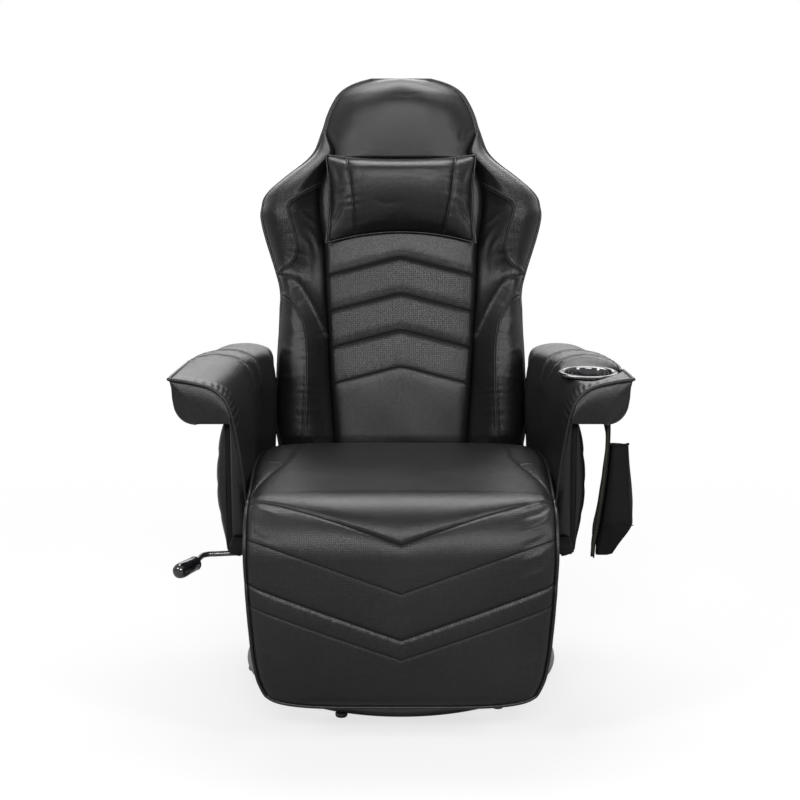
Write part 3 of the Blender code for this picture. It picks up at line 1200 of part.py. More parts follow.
def make_cup_holder():
    rim = CUP_RIM_DIAMETER / 2
    mouth = CUP_MOUTH_DIAMETER / 2
    foot = CUP_FOOT_DIAMETER / 2
    under = -CUP_DEPTH - CUP_WALL
    profile = [(0, -CUP_DEPTH), (foot, -CUP_DEPTH), (mouth, 0), (mouth, CUP_RIM_THICKNESS),
               (rim - CUP_RIM_THICKNESS / 2, CUP_RIM_THICKNESS), (rim, CUP_RIM_THICKNESS / 2), (rim, 0),
               (mouth + CUP_WALL, 0), (foot + CUP_WALL, under), (0, under)]
    cup = turned_object("cup_holder", profile, TURN_STEPS)
    cup.location = (CUP_X, CUP_Y, CUP_RIM_Z)
    adopt(cup, seat_body, GLOSS_PLASTIC)


def cup_pocket_tool():
    """What the arm gives up to the cup: a seat for its rim and a pocket for its body."""
    rim = CUP_RIM_DIAMETER / 2 + SEAT_GAP
    mouth = CUP_MOUTH_DIAMETER / 2 + CUP_WALL + 2 * SEAT_GAP
    foot = CUP_FOOT_DIAMETER / 2 + CUP_WALL + 2 * SEAT_GAP
    under = -CUP_DEPTH - CUP_WALL - SEAT_GAP
    profile = [(0, OVERRUN), (rim, OVERRUN), (rim, -SEAT_GAP), (mouth, -SEAT_GAP), (foot, under),
               (0, under)]
    tool = turned_object("cup_pocket", profile, TURN_STEPS, cutter_collection)
    tool.location = (CUP_X, CUP_Y, CUP_RIM_Z)
    return tool


# Lever: rod through the side plate, cam over the drive bar, and grip

LEVER_ROD_RADIUS = LEVER_ROD_DIAMETER / 2
LEVER_BUSH_RADIUS = LEVER_ROD_RADIUS + PIN_GAP + LEVER_BUSH_WALL
GRIP_TURN = math.radians(LEVER_GRIP_SPLAY_DEG)
GRIP_DIRECTION = Vector((-math.sin(GRIP_TURN), -math.cos(GRIP_TURN), 0))
GRIP_START = Vector((-(LEVER_BEND_X + LEVER_SPLAY), LEVER_Y - LEVER_FORWARD,
                     LEVER_Z - LEVER_DROOP - LEVER_SPLAY / 2))


def make_lever_bush():
    bore = LEVER_ROD_RADIUS + PIN_GAP
    flange = LEVER_BUSH_RADIUS + LEVER_BUSH_WALL
    inner_end = PLATE_THICKNESS + SEAT_GAP
    profile = [(bore, 0), (bore, inner_end + LEVER_BUSH_WALL), (flange, inner_end + LEVER_BUSH_WALL),
               (flange, inner_end), (LEVER_BUSH_RADIUS, inner_end), (LEVER_BUSH_RADIUS, 0)]
    bush = turned_object("lever_bush", profile, PIN_STEPS)
    bush.rotation_euler = (0, math.radians(-90), 0)
    bush.location = (-PLATE_INNER_X, LEVER_Y, LEVER_Z)
    adopt(bush, seat_body, BLACK_PLASTIC)


def make_lever():
    straight_end = PLATE_OUTER_X + 2 * LEVER_GRIP_DIAMETER
    bend_z = LEVER_Z - LEVER_DROOP
    path = [(-LEVER_INNER_X, LEVER_Y, LEVER_Z), (-straight_end, LEVER_Y, LEVER_Z),
            (-(LEVER_BEND_X - LEVER_ROD_DIAMETER), LEVER_Y, bend_z),
            (-LEVER_BEND_X, LEVER_Y - LEVER_ROD_DIAMETER / 2, bend_z),
            tuple(GRIP_START), tuple(GRIP_START + GRIP_DIRECTION * (LEVER_GRIP_BORE - SEAT_GAP))]
    rod = link_mesh("lever_rod", tube_mesh("lever_rod", path, LEVER_ROD_RADIUS))
    adopt(rod, lever_body, LEVER_STEEL)
    radius = LEVER_GRIP_DIAMETER / 2
    bore = LEVER_ROD_RADIUS + PIN_GAP
    foot_radius_share = 0.86
    dome = [(across, along) for along, across in arc((LEVER_GRIP_LENGTH - radius, 0), radius, 0, 90)]
    profile = dome + [(radius, radius / 7), (radius * foot_radius_share, 0), (bore, 0),
                      (bore, LEVER_GRIP_BORE), (0, LEVER_GRIP_BORE)]
    grip = turned_object("lever_grip", profile, TURN_STEPS // 2)
    grip.rotation_euler = GRIP_DIRECTION.to_track_quat("Z", "Y").to_euler()
    grip.location = GRIP_START
    adopt(grip, lever_body, GLOSS_PLASTIC)
    cam_shoulder_share = 0.85
    shoulder_z = LEVER_Z - CAM_LOBE * cam_shoulder_share
    outline = arc((LEVER_Y, LEVER_Z), CAM_RADIUS, 0, 180) + [(LEVER_Y - CAM_RADIUS / 2, shoulder_z)]
    outline += [(LEVER_Y, LEVER_Z - CAM_LOBE), (LEVER_Y + CAM_RADIUS / 2, shoulder_z)]
    holes = [round_hole((LEVER_Y, LEVER_Z), LEVER_ROD_RADIUS + SEAT_GAP)]
    middle = BAR_OUTER_X - BAR_THICKNESS / 2
    cam = link_mesh("lock_cam", plate_mesh("lock_cam", outline, holes, BAR_THICKNESS, -middle))
    adopt(cam, lever_body, ZINC_STEEL)


# Pouch: an open fabric bag sewn to a padded flap that hangs under the left arm

def pouch_ring(height_share, thickness, inset):
    """One level of the bag, from its foot at 0 to its mouth at 1, drawn in by inset."""
    z = POUCH_TOP_Z - POUCH_HEIGHT * (1 - height_share)
    inner = POUCH_INNER_X - POUCH_SLOPE_SHARE * (POUCH_TOP_Z - z) + inset
    outer = inner + thickness - 2 * inset
    front = POUCH_FRONT_Y + inset
    rear = POUCH_FRONT_Y + POUCH_WIDTH - inset
    corner = POUCH_CORNER
    return [(inner + corner, front, z), (outer - corner, front, z), (outer, front + corner, z),
            (outer, rear - corner, z), (outer - corner, rear, z), (inner + corner, rear, z),
            (inner, rear - corner, z), (inner, front + corner, z)]


# Level of the bag and its thickness there, from the foot to the mouth
POUCH_LEVELS = [(0.0, POUCH_FOOT_THICKNESS), (POUCH_BELLY_SHARE, POUCH_BELLY_THICKNESS),
                (0.6, (POUCH_BELLY_THICKNESS + POUCH_TOP_THICKNESS) / 2), (1.0, POUCH_TOP_THICKNESS)]


def make_pouch():
    rings = [pouch_ring(share, thickness, 0) for share, thickness in POUCH_LEVELS]
    bag = link_mesh("pouch_bag", ring_loft_mesh("pouch_bag", rings))
    adopt(bag, pouch_body, POUCH_FABRIC)
    rings = [pouch_ring(share, thickness, POUCH_WALL) for share, thickness in POUCH_LEVELS]
    floor = [(x, y, z + POUCH_WALL) for x, y, z in rings[0]]
    mouth = [(x, y, z + OVERRUN) for x, y, z in rings[-1]]
    mesh = ring_loft_mesh("pouch_hollow", [floor] + rings[1:] + [mouth])
    hollow = link_mesh("pouch_hollow", mesh, cutter_collection)
    join_or_cut(bag, hollow, "DIFFERENCE", pouch_body)
    front = POUCH_FRONT_Y + (POUCH_WIDTH - POUCH_FLAP_WIDTH) / 2
    rear = front + POUCH_FLAP_WIDTH
    rings = []
    for z in (POUCH_TOP_Z - POUCH_HEIGHT, POUCH_ROOF_Z):
        outer = POUCH_HINGE_X - POUCH_SLOPE_SHARE * (POUCH_ROOF_Z - z)
        inner = outer - POUCH_FLAP_THICKNESS
        rings.append([(inner, front, z), (outer, front, z), (outer, rear, z), (inner, rear, z)])
    flap = link_mesh("pouch_flap", ring_loft_mesh("pouch_flap", rings))
    adopt(flap, pouch_body, POUCH_FABRIC)


make_base_ring()
make_glides()
make_base_cross()
make_base_column()
make_swivel_bush()
make_swivel()
make_cross_members()
make_side_plates()
make_pins()
make_seat_board()
make_seat_cushion()
make_knee_pad()
make_leg_rest_pad()
make_leg_rest_board()
make_leg_arms()
make_drive_bars()
make_center_pad()
make_wings()
make_headrest()
make_head_pillow()
make_back_board()
make_back_cover()
make_back_frame()
make_back_brackets()
make_arm_pads()
make_arm_frames()
make_side_panels()
make_cup_holder()
make_lever_bush()
make_lever()
make_pouch()
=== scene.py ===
"""Looks of the gaming recliner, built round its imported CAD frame.

Every piece is laid out in metres round the swivel axis, +Z up, with the sitter facing -Y, and is
moved onto the frame once it is done. The sections follow the chair as it is put together.
"""
import math

import bmesh
import bpy
import numpy as np
from mathutils import Matrix, Vector


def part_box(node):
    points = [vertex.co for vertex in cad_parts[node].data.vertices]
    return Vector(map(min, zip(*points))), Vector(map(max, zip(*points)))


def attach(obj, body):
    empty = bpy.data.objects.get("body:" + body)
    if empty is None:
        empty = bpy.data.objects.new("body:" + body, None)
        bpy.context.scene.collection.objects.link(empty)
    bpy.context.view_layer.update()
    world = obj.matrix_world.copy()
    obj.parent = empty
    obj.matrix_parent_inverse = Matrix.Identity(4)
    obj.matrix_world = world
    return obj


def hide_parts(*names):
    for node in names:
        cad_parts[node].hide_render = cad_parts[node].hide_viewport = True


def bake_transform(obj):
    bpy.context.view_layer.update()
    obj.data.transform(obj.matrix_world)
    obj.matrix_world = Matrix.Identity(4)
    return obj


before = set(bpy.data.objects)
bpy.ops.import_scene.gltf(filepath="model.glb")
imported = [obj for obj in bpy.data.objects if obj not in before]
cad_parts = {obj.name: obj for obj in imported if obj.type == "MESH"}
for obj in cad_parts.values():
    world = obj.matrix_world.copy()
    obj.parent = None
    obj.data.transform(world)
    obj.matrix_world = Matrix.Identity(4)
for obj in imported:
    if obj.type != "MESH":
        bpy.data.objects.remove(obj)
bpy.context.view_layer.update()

# Base ring and glides
# The ring is one steel tube, bent round and welded shut, then coated black. Six plastic glides are
# pressed into its underside, and a flat cross is welded inside it.

column_low, column_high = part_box("base_column")
TO_FRAME = Matrix.Translation(((column_low.x + column_high.x) / 2, (column_low.y + column_high.y) / 2, 0))
RING_RADIUS = 0.2843
RING_TUBE_RADIUS = 0.0127
RING_Z = 0.0210


def pick(obj):
    """Deselect everything, then select this piece alone."""
    bpy.ops.object.select_all(action="DESELECT")
    obj.select_set(True)
    bpy.context.view_layer.objects.active = obj


def apply_modifiers(obj):
    pick(obj)
    for modifier in list(obj.modifiers):
        bpy.ops.object.modifier_apply(modifier=modifier.name)


def settle(obj, finish):
    """Give a piece its finish and move it onto the frame, with its place in its mesh."""
    bpy.context.view_layer.update()
    obj.data.transform(TO_FRAME @ obj.matrix_world)
    obj.matrix_world = Matrix.Identity(4)
    obj.data.materials.clear()
    obj.data.materials.append(finish)


def put(tree, kind, inputs=None, **settings):
    """Add a shader node; its inputs are values or other nodes' outputs."""
    node = tree.nodes.new(kind)
    for name, value in settings.items():
        setattr(node, name, value)
    for name, value in (inputs or {}).items():
        if isinstance(value, bpy.types.NodeSocket):
            tree.links.new(value, node.inputs[name])
        else:
            node.inputs[name].default_value = value
    return node


def new_finish(name, **sockets):
    """A material with one Principled shader; gives its tree and the shader too."""
    finish = bpy.data.materials.new(name)
    finish.use_nodes = True
    tree = finish.node_tree
    shader = tree.nodes["Principled BSDF"]
    for socket, value in sockets.items():
        shader.inputs[socket.replace("_", " ")].default_value = value
    return finish, tree, shader


def object_noise(tree, scale, detail=3.0, stretch=(1.0, 1.0, 1.0)):
    """Noise fixed to the piece, from 0 to 1."""
    place = put(tree, "ShaderNodeTexCoord").outputs["Object"]
    mapped = put(tree, "ShaderNodeMapping", {"Vector": place, "Scale": stretch}).outputs["Vector"]
    noise = put(tree, "ShaderNodeTexNoise", {"Vector": mapped, "Scale": scale, "Detail": detail})
    return noise.outputs["Fac"]


def mix_colors(tree, mask, first, second):
    """A colour that runs from the first to the second as the mask rises from 0 to 1."""
    node = tree.nodes.new("ShaderNodeMix")
    node.data_type = "RGBA"
    tree.links.new(mask, node.inputs[0])
    for socket, value in ((node.inputs[6], first), (node.inputs[7], second)):
        if isinstance(value, bpy.types.NodeSocket):
            tree.links.new(value, socket)
        else:
            socket.default_value = (*value, 1.0)
    return node.outputs[2]


def spread(tree, mask, low, high, from_low=0.3, from_high=0.7):
    """Stretch a mask to run between two values."""
    return put(tree, "ShaderNodeMapRange", {"Value": mask, "From Min": from_low, "From Max": from_high,
                                            "To Min": low, "To Max": high}).outputs["Result"]


def add_relief(tree, shader, height, distance, strength=1.0):
    bump = put(tree, "ShaderNodeBump", {"Height": height, "Distance": distance, "Strength": strength})
    tree.links.new(bump.outputs["Normal"], shader.inputs["Normal"])


def uneven_finish(name, scale, dark, light, roughness, relief=None, **sockets):
    """A finish whose colour and sheen vary slowly; relief is a finer noise's scale, depth and strength."""
    finish, tree, shader = new_finish(name, **sockets)
    broad = object_noise(tree, scale)
    color = mix_colors(tree, spread(tree, broad, 0.0, 1.0), dark, light)
    tree.links.new(color, shader.inputs["Base Color"])
    tree.links.new(spread(tree, broad, *roughness), shader.inputs["Roughness"])
    if relief:
        fine_scale, distance, strength = relief
        add_relief(tree, shader, object_noise(tree, fine_scale, 1.0), distance, strength)
    return finish


def make_coated_steel():
    """Black powder coat: fine orange peel and a slightly uneven sheen."""
    return uneven_finish("coated_steel", 9.0, (0.010, 0.010, 0.011), (0.019, 0.019, 0.020),
                         roughness=(0.30, 0.42), relief=(900.0, 0.0004, 0.35), Metallic=0.0)


def make_black_plastic():
    """Moulded plastic with a fine matt grain."""
    return uneven_finish("black_plastic", 40.0, (0.016, 0.016, 0.017), (0.028, 0.028, 0.029),
                         roughness=(0.42, 0.56), relief=(1400.0, 0.0002, 0.4))


coated_steel = make_coated_steel()
black_plastic = make_black_plastic()

bpy.ops.object.select_all(action="DESELECT")
bpy.ops.mesh.primitive_torus_add(major_radius=RING_RADIUS, minor_radius=RING_TUBE_RADIUS, major_segments=144,
                                 minor_segments=24, location=(0, 0, RING_Z))
ring = bpy.context.object
ring.name = "ring_tube"
bpy.ops.object.shade_smooth()
settle(ring, coated_steel)
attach(ring, "base")
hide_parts("base_ring")


def turned(name, rings, x=0.0, y=0.0, steps=48, crease_deg=30.0):
    """A turned piece, drawn up ring by ring from its first cap to its last; rings are (radius, z)."""
    bpy.ops.object.select_all(action="DESELECT")
    bpy.ops.mesh.primitive_circle_add(vertices=steps, radius=rings[0][0], fill_type="NGON",
                                      location=(x, y, rings[0][1]))
    obj = bpy.context.object
    obj.name = name
    bpy.ops.object.mode_set(mode="EDIT")
    bpy.ops.mesh.select_mode(type="FACE")
    bpy.ops.mesh.select_all(action="SELECT")
    for (radius, z), (next_radius, next_z) in zip(rings, rings[1:]):
        bpy.ops.mesh.extrude_region_move(TRANSFORM_OT_translate={"value": (0, 0, next_z - z)})
        share = next_radius / radius
        bpy.ops.transform.resize(value=(share, share, 1), center_override=(x, y, next_z))
    bpy.ops.mesh.select_all(action="SELECT")
    bpy.ops.mesh.normals_make_consistent(inside=False)
    bpy.ops.object.mode_set(mode="OBJECT")
    bpy.ops.object.shade_smooth_by_angle(angle=math.radians(crease_deg))
    return obj


for index in range(6):
    glide_angle = math.radians(-22.0 + 60.0 * index)
    glide = turned(f"glide_foot_{index + 1}",
                   [(0.0086, 0.0002), (0.0098, 0.0005), (0.0107, 0.0018), (0.0110, 0.0034), (0.0110, 0.0066),
                    (0.0104, 0.0078), (0.0060, 0.0080)],
                   RING_RADIUS * math.sin(glide_angle), -RING_RADIUS * math.cos(glide_angle), steps=32)
    settle(glide, black_plastic)
    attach(glide, "base")
    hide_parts(f"glide_{index + 1}")


# Base cross, column and swivel
# The column is a steel tube on a round flange, bolted down on the cross. A plastic bush carries the
# spindle, and the square swivel plate is welded on top of it.

def make_zinc_steel():
    """Zinc plate: bluish, with faint streaks of brushing."""
    finish, tree, shader = new_finish("zinc_steel", Metallic=1.0)
    streak = object_noise(tree, 60.0, 4.0, (1.0, 1.0, 8.0))
    color = mix_colors(tree, spread(tree, streak, 0.0, 1.0), (0.40, 0.41, 0.43), (0.60, 0.61, 0.64))
    tree.links.new(color, shader.inputs["Base Color"])
    tree.links.new(spread(tree, streak, 0.28, 0.45), shader.inputs["Roughness"])
    add_relief(tree, shader, streak, 0.0003, 0.2)
    return finish


def make_plywood():
    """Plywood stained black, with long grain and thin plies at its edges."""
    finish, tree, shader = new_finish("plywood")
    grain = object_noise(tree, 14.0, 5.0, (1.0, 9.0, 9.0))
    plies = put(tree, "ShaderNodeTexWave", {"Vector": put(tree, "ShaderNodeTexCoord").outputs["Object"],
                                            "Scale": 130.0, "Distortion": 0.4}, bands_direction="Z")
    color = mix_colors(tree, spread(tree, grain, 0.0, 1.0), (0.010, 0.009, 0.008), (0.022, 0.020, 0.018))
    ply = spread(tree, plies.outputs["Fac"], 0.0, 0.35, 0.0, 1.0)
    edge = mix_colors(tree, ply, color, (0.006, 0.005, 0.005))
    tree.links.new(edge, shader.inputs["Base Color"])
    tree.links.new(spread(tree, grain, 0.62, 0.80), shader.inputs["Roughness"])
    add_relief(tree, shader, grain, 0.0004, 0.3)
    return finish


zinc_steel = make_zinc_steel()
plywood = make_plywood()

column = turned("column_tube",
                [(0.0640, 0.0254), (0.0650, 0.0262), (0.0650, 0.0304), (0.0642, 0.0312), (0.0345, 0.0312),
                 (0.0315, 0.0326), (0.0303, 0.0350), (0.0300, 0.0380), (0.0300, 0.2612), (0.0292, 0.2620),
                 (0.0268, 0.2620), (0.0260, 0.2612), (0.0260, 0.0434)])
settle(column, coated_steel)
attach(column, "base")
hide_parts("base_column")

for index in range(4):
    bolt_angle = math.radians(8.0 + 90.0 * index)
    bolt = turned(f"flange_bolt_{index + 1}",
                  [(0.0085, 0.0313), (0.0085, 0.0323), (0.0066, 0.0324), (0.0066, 0.0360), (0.0058, 0.0368),
                   (0.0020, 0.0369)],
                  0.049 * math.cos(bolt_angle), 0.049 * math.sin(bolt_angle), steps=6)
    settle(bolt, zinc_steel)
    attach(bolt, "base")


def finish_nodes(names, finish):
    """Give a finish to solids of the frame that show as they are."""
    for name in names:
        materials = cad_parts[name].data.materials
        materials.clear()
        materials.append(finish)


finish_nodes(["base_cross", "swivel_plate"], coated_steel)
finish_nodes(["swivel_bush"], black_plastic)
finish_nodes(["swivel_spindle"], zinc_steel)


# Steel seat frame, boards and drive
# Two side plates carry the pivot pins and are tied by two box tubes. The black-stained plywood boards
# are screwed on, and flat bars under the seat link the back to the leg rest.

steel_nodes = ["cross_member_front", "cross_member_rear", "side_plate_left", "side_plate_right",
               "back_frame", "back_bracket_left", "back_bracket_right", "leg_arm_left", "leg_arm_right",
               "drive_cross_tube"]
zinc_nodes = ["recline_pin_left", "recline_pin_right", "knee_pin_left", "knee_pin_right", "drive_bar_left",
              "drive_bar_right", "lock_cam"]
board_nodes = ["seat_board", "arm_frame_left", "arm_frame_right", "back_board", "leg_rest_board"]
finish_nodes(steel_nodes, coated_steel)
finish_nodes(zinc_nodes, zinc_steel)
finish_nodes(board_nodes, plywood)
finish_nodes(["lever_bush"], black_plastic)


# Seat, knee and leg rest
# One long cushion in black synthetic leather runs from the back over the knee and down the leg rest.
# Four V lines are sewn across it, the panels between them are perforated, and its edge is piped.

SEAT_HALF_WIDTH = 0.2597
SEAT_REAR_Y = 0.0947
KNEE_Y = -0.310
KNEE_Z = 0.330
KNEE_RADIUS = 0.100
LEG_BOTTOM_Z = 0.075
SEAT_LENGTH = SEAT_REAR_Y - KNEE_Y
KNEE_LENGTH = KNEE_RADIUS * math.pi / 2
CHAISE_END = KNEE_LENGTH + KNEE_Z - LEG_BOTTOM_Z


def calc(tree, operation, *values, kind="ShaderNodeMath"):
    """What one math node makes of its values, which may be other nodes' outputs."""
    return put(tree, kind, dict(enumerate(values)), operation=operation).outputs[0]


def new_group(name, setting, results):
    """A shader group with one setting and some results; gives the group and its setting."""
    group = bpy.data.node_groups.new(name, "ShaderNodeTree")
    group.interface.new_socket(setting, in_out="INPUT", socket_type="NodeSocketFloat")
    for result in results:
        group.interface.new_socket(result, in_out="OUTPUT", socket_type="NodeSocketFloat")
    return group, put(group, "NodeGroupInput").outputs[setting]


def leather_grain_group():
    """Fine pebbled grain, with a broad uneven tone: puts out the tone and the height."""
    group, scale = new_group("leather_grain", "Pebble Scale", ["Tone", "Height"])
    place = put(group, "ShaderNodeTexCoord").outputs["Object"]
    pebbles = put(group, "ShaderNodeTexVoronoi", {"Vector": place, "Scale": scale},
                  feature="DISTANCE_TO_EDGE").outputs["Distance"]
    creases = put(group, "ShaderNodeTexNoise",
                  {"Vector": place, "Scale": 160.0, "Detail": 4.0}).outputs["Fac"]
    height = calc(group, "ADD", spread(group, pebbles, 0.0, 1.0, 0.0, 0.25), spread(group, creases, 0.0, 1.0))
    broad = put(group, "ShaderNodeTexNoise", {"Vector": place, "Scale": 5.0, "Detail": 3.0}).outputs["Fac"]
    tone = calc(group, "ADD", spread(group, broad, 0.0, 0.6), spread(group, creases, 0.0, 0.4))
    put(group, "NodeGroupOutput", {"Tone": tone, "Height": height})
    return group


def perforation_group():
    """Round holes in a square grid, from a UV map in metres: puts out 1 in each hole."""
    group, pitch = new_group("perforation", "Pitch", ["Holes"])
    place = put(group, "ShaderNodeUVMap").outputs["UV"]
    per_pitch = calc(group, "DIVIDE", 1.0, pitch)
    cells = put(group, "ShaderNodeVectorMath", {0: place, "Scale": per_pitch}, operation="SCALE").outputs[0]
    inside = calc(group, "FRACTION", cells, kind="ShaderNodeVectorMath")
    offset = calc(group, "SUBTRACT", inside, (0.5, 0.5, 0.0), kind="ShaderNodeVectorMath")
    flat = calc(group, "MULTIPLY", offset, (1.0, 1.0, 0.0), kind="ShaderNodeVectorMath")
    reach = put(group, "ShaderNodeVectorMath", {0: flat}, operation="LENGTH").outputs["Value"]
    holes = spread(group, reach, 0.75, 0.0, 0.16, 0.27)
    put(group, "NodeGroupOutput", {"Holes": holes})
    return group


# The thread lies in a row this far from the seam's line
STITCH_ROW = 0.0036


def stitching_group():
    """Seams from the place that the mesh carries: puts out the drawn-in line, a mask for the groove and its
    painted shade, and the thread beside it.
    """
    group, stitch = new_group("stitching", "Stitch", ["Thread", "Line"])
    place = put(group, "ShaderNodeAttribute", attribute_name="seam_place").outputs["Vector"]
    parts = put(group, "ShaderNodeSeparateXYZ", {"Vector": place})
    step = calc(group, "DIVIDE", parts.outputs["X"], stitch)
    phase = calc(group, "FRACT", step)
    on_stitch = calc(group, "COMPARE", phase, 0.36, 0.30)
    off_row = calc(group, "SUBTRACT", parts.outputs["Y"], STITCH_ROW)
    distance = calc(group, "ABSOLUTE", off_row)
    on_row = spread(group, distance, 1.0, 0.0, 0.0004, 0.0008)
    near = calc(group, "MULTIPLY", on_row, parts.outputs["Z"])
    thread = calc(group, "MULTIPLY", on_stitch, near)
    # The drawn-in line's mask: it sinks the groove and also carries the painted shade in it
    off_line = calc(group, "ABSOLUTE", parts.outputs["Y"])
    drawn = spread(group, off_line, 1.0, 0.0, 0.0006, 0.0016)
    line = calc(group, "MULTIPLY", drawn, parts.outputs["Z"])
    put(group, "NodeGroupOutput", {"Thread": thread, "Line": line})
    return group


leather_grain = leather_grain_group()
perforation = perforation_group()
stitching = stitching_group()


def make_leather(name, dark, light, rough_low, rough_high):
    """Black synthetic leather: grain, holes where the mesh says so, and stitched seams, their drawn-in lines
    painted near black as the shade in their grooves.
    """
    finish, tree, shader = new_finish(name)
    shader.inputs["Specular IOR Level"].default_value = 0.17
    grain = put(tree, "ShaderNodeGroup", node_tree=leather_grain)
    grain.inputs["Pebble Scale"].default_value = 620.0
    pattern = put(tree, "ShaderNodeGroup", node_tree=perforation)
    pattern.inputs["Pitch"].default_value = 0.0038
    seams = put(tree, "ShaderNodeGroup", node_tree=stitching)
    seams.inputs["Stitch"].default_value = 0.0046
    area = put(tree, "ShaderNodeAttribute", attribute_name="perforated").outputs["Fac"]
    holes = calc(tree, "MULTIPLY", pattern.outputs["Holes"], area)
    thread, line = seams.outputs["Thread"], seams.outputs["Line"]
    color = mix_colors(tree, grain.outputs["Tone"], dark, light)
    color = mix_colors(tree, holes, color, (0.0005, 0.0005, 0.0005))
    # Painted shade: the drawn-in seam lines are darkened to near black, standing in for the shade in their
    # grooves
    color = mix_colors(tree, line, color, (0.0005, 0.0005, 0.0005))
    color = mix_colors(tree, thread, color, (0.016, 0.016, 0.017))
    tree.links.new(color, shader.inputs["Base Color"])
    sheen = spread(tree, grain.outputs["Tone"], rough_low, rough_high, 0.0, 1.0)
    pits = calc(tree, "MAXIMUM", holes, line)
    sheen = calc(tree, "MULTIPLY_ADD", pits, 0.5, sheen)
    tree.links.new(sheen, shader.inputs["Roughness"])
    low = calc(tree, "MULTIPLY", grain.outputs["Height"], 0.14)
    sunk = calc(tree, "MULTIPLY_ADD", line, -1.6, low)
    sunk = calc(tree, "MULTIPLY_ADD", holes, -0.45, sunk)
    height = calc(tree, "MULTIPLY_ADD", thread, 0.8, sunk)
    add_relief(tree, shader, height, 0.0006)
    return finish


black_leather = make_leather("black_leather", (0.0018, 0.0018, 0.0020), (0.0052, 0.0052, 0.0056), 0.28, 0.40)


def ease(table, share):
    """Read a table of (share, value) rows along a smooth curve through its rows."""
    places = np.array([row[0] for row in table])
    values = np.array([row[1] for row in table])
    slopes = np.gradient(values, places)
    index = np.clip(np.searchsorted(places, share, side="right") - 1, 0, len(places) - 2)
    width = places[index + 1] - places[index]
    part = np.clip((share - places[index]) / width, 0.0, 1.0)
    back = 1.0 - part
    start = (1 + 2 * part) * back ** 2 * values[index] + part * back ** 2 * width * slopes[index]
    end = part ** 2 * (3 - 2 * part) * values[index + 1] - part ** 2 * back * width * slopes[index + 1]
    return start + end


def line_distance(across, along, line):
    """Distance of each place from a drawn line, below zero on its right, and how far along it lies."""
    distance = np.full(np.shape(across), 9.0)
    reach = np.zeros(np.shape(across))
    start = 0.0
    for (a0, b0), (a1, b1) in zip(line, line[1:]):
        step_a, step_b = a1 - a0, b1 - b0
        length = math.hypot(step_a, step_b)
        share = np.clip(((across - a0) * step_a + (along - b0) * step_b) / length ** 2, 0.0, 1.0)
        off_a = across - a0 - share * step_a
        off_b = along - b0 - share * step_b
        side = np.where(step_a * off_b - step_b * off_a < 0, -1.0, 1.0)
        here = np.hypot(off_a, off_b)
        nearer = here < np.abs(distance)
        distance = np.where(nearer, here * side, distance)
        reach = np.where(nearer, start + share * length, reach)
        start += length
    return distance, reach


def ripple(reach, seed):
    """An uneven wave along a seam, from -1 to 1, with the spacing of gathered leather."""
    slow = np.sin(reach * 61.0 + seed * 2.3)
    wide = np.sin(reach * 240.0 + 2.4 * slow + seed)
    fine = np.sin(reach * 415.0 + 1.7 * slow + 3.1 * seed)
    return 0.55 * wide + 0.45 * fine


def sew(across, along, seams):
    """Height left by sewn lines, drawn in and puckered, and where each place lies beside its seam.

    A seam is its line, how deep it is drawn in, half the width of its groove, and its puckers' height.
    """
    height = np.zeros(np.shape(across))
    nearest = np.full(np.shape(across), 9.0)
    reach_there = np.zeros(np.shape(across))
    for seed, (line, depth, half_width, pucker) in enumerate(seams):
        distance, reach = line_distance(across, along, line)
        off = np.abs(distance)
        groove = 0.60 * np.exp(-(off / half_width) ** 2)
        hollow = 0.40 * np.exp(-(off / (4.0 * half_width)) ** 2)
        gathers = np.exp(-off / 0.011) * (1 - np.exp(-off / 0.0022)) * ripple(reach, seed)
        height = height - depth * (groove + hollow) + pucker * gathers
        nearer = off < np.abs(nearest)
        nearest = np.where(nearer, distance, nearest)
        reach_there = np.where(nearer, reach, reach_there)
    close = np.clip((0.010 - np.abs(nearest)) / 0.004, 0.0, 1.0)
    return height, np.stack([reach_there, nearest, close], axis=-1)


def crease(across, along, line, height, half_width):
    """One soft fold along a drawn line, dying out at both its ends."""
    distance, reach = line_distance(across, along, line)
    length = sum(math.dist(a, b) for a, b in zip(line, line[1:]))
    fade = np.clip(np.sin(np.pi * np.clip(reach / length, 0.02, 0.98)), 0, 1)
    return height * fade * np.exp(-(distance / half_width) ** 2)


def raised(points, height):
    """Move a grid of places off its surface by a height, which may vary."""
    normal = np.cross(np.gradient(points, axis=1), np.gradient(points, axis=0))
    normal = normal / np.maximum(np.linalg.norm(normal, axis=-1, keepdims=True), 1e-9)
    return points + normal * np.asarray(height)[..., None]


# The rear sheet of a pad takes every fourth row and column of its front sheet
COARSE = 4


def add_object(name, data):
    obj = bpy.data.objects.new(name, data)
    bpy.context.scene.collection.objects.link(obj)
    return obj


def map_uv(mesh, uv):
    """Write the UV map from one place on it for each vertex."""
    corner = np.zeros(len(mesh.loops), int)
    mesh.loops.foreach_get("vertex_index", corner)
    layer = mesh.uv_layers.get("UVMap") or mesh.uv_layers.new(name="UVMap")
    layer.data.foreach_set("uv", uv[corner].astype(np.float32).ravel())


def add_mark(mesh, name, values):
    """Write an attribute that holds a number, or three, for each vertex."""
    kind, part = ("FLOAT_VECTOR", "vector") if values.ndim == 2 else ("FLOAT", "value")
    data = mesh.attributes.new(name, kind, "POINT").data
    data.foreach_set(part, values.astype(np.float32).ravel())


def across_surface(sheet, x):
    """Distance across each row of a sheet, measured over its surface from the middle column."""
    steps = np.linalg.norm(np.diff(sheet, axis=1), axis=2)
    across = np.concatenate([np.zeros((len(sheet), 1)), np.cumsum(steps, axis=1)], axis=1)
    middle = sheet.shape[1] // 2
    return across - across[:, middle:middle + 1] + x[:, middle:middle + 1]


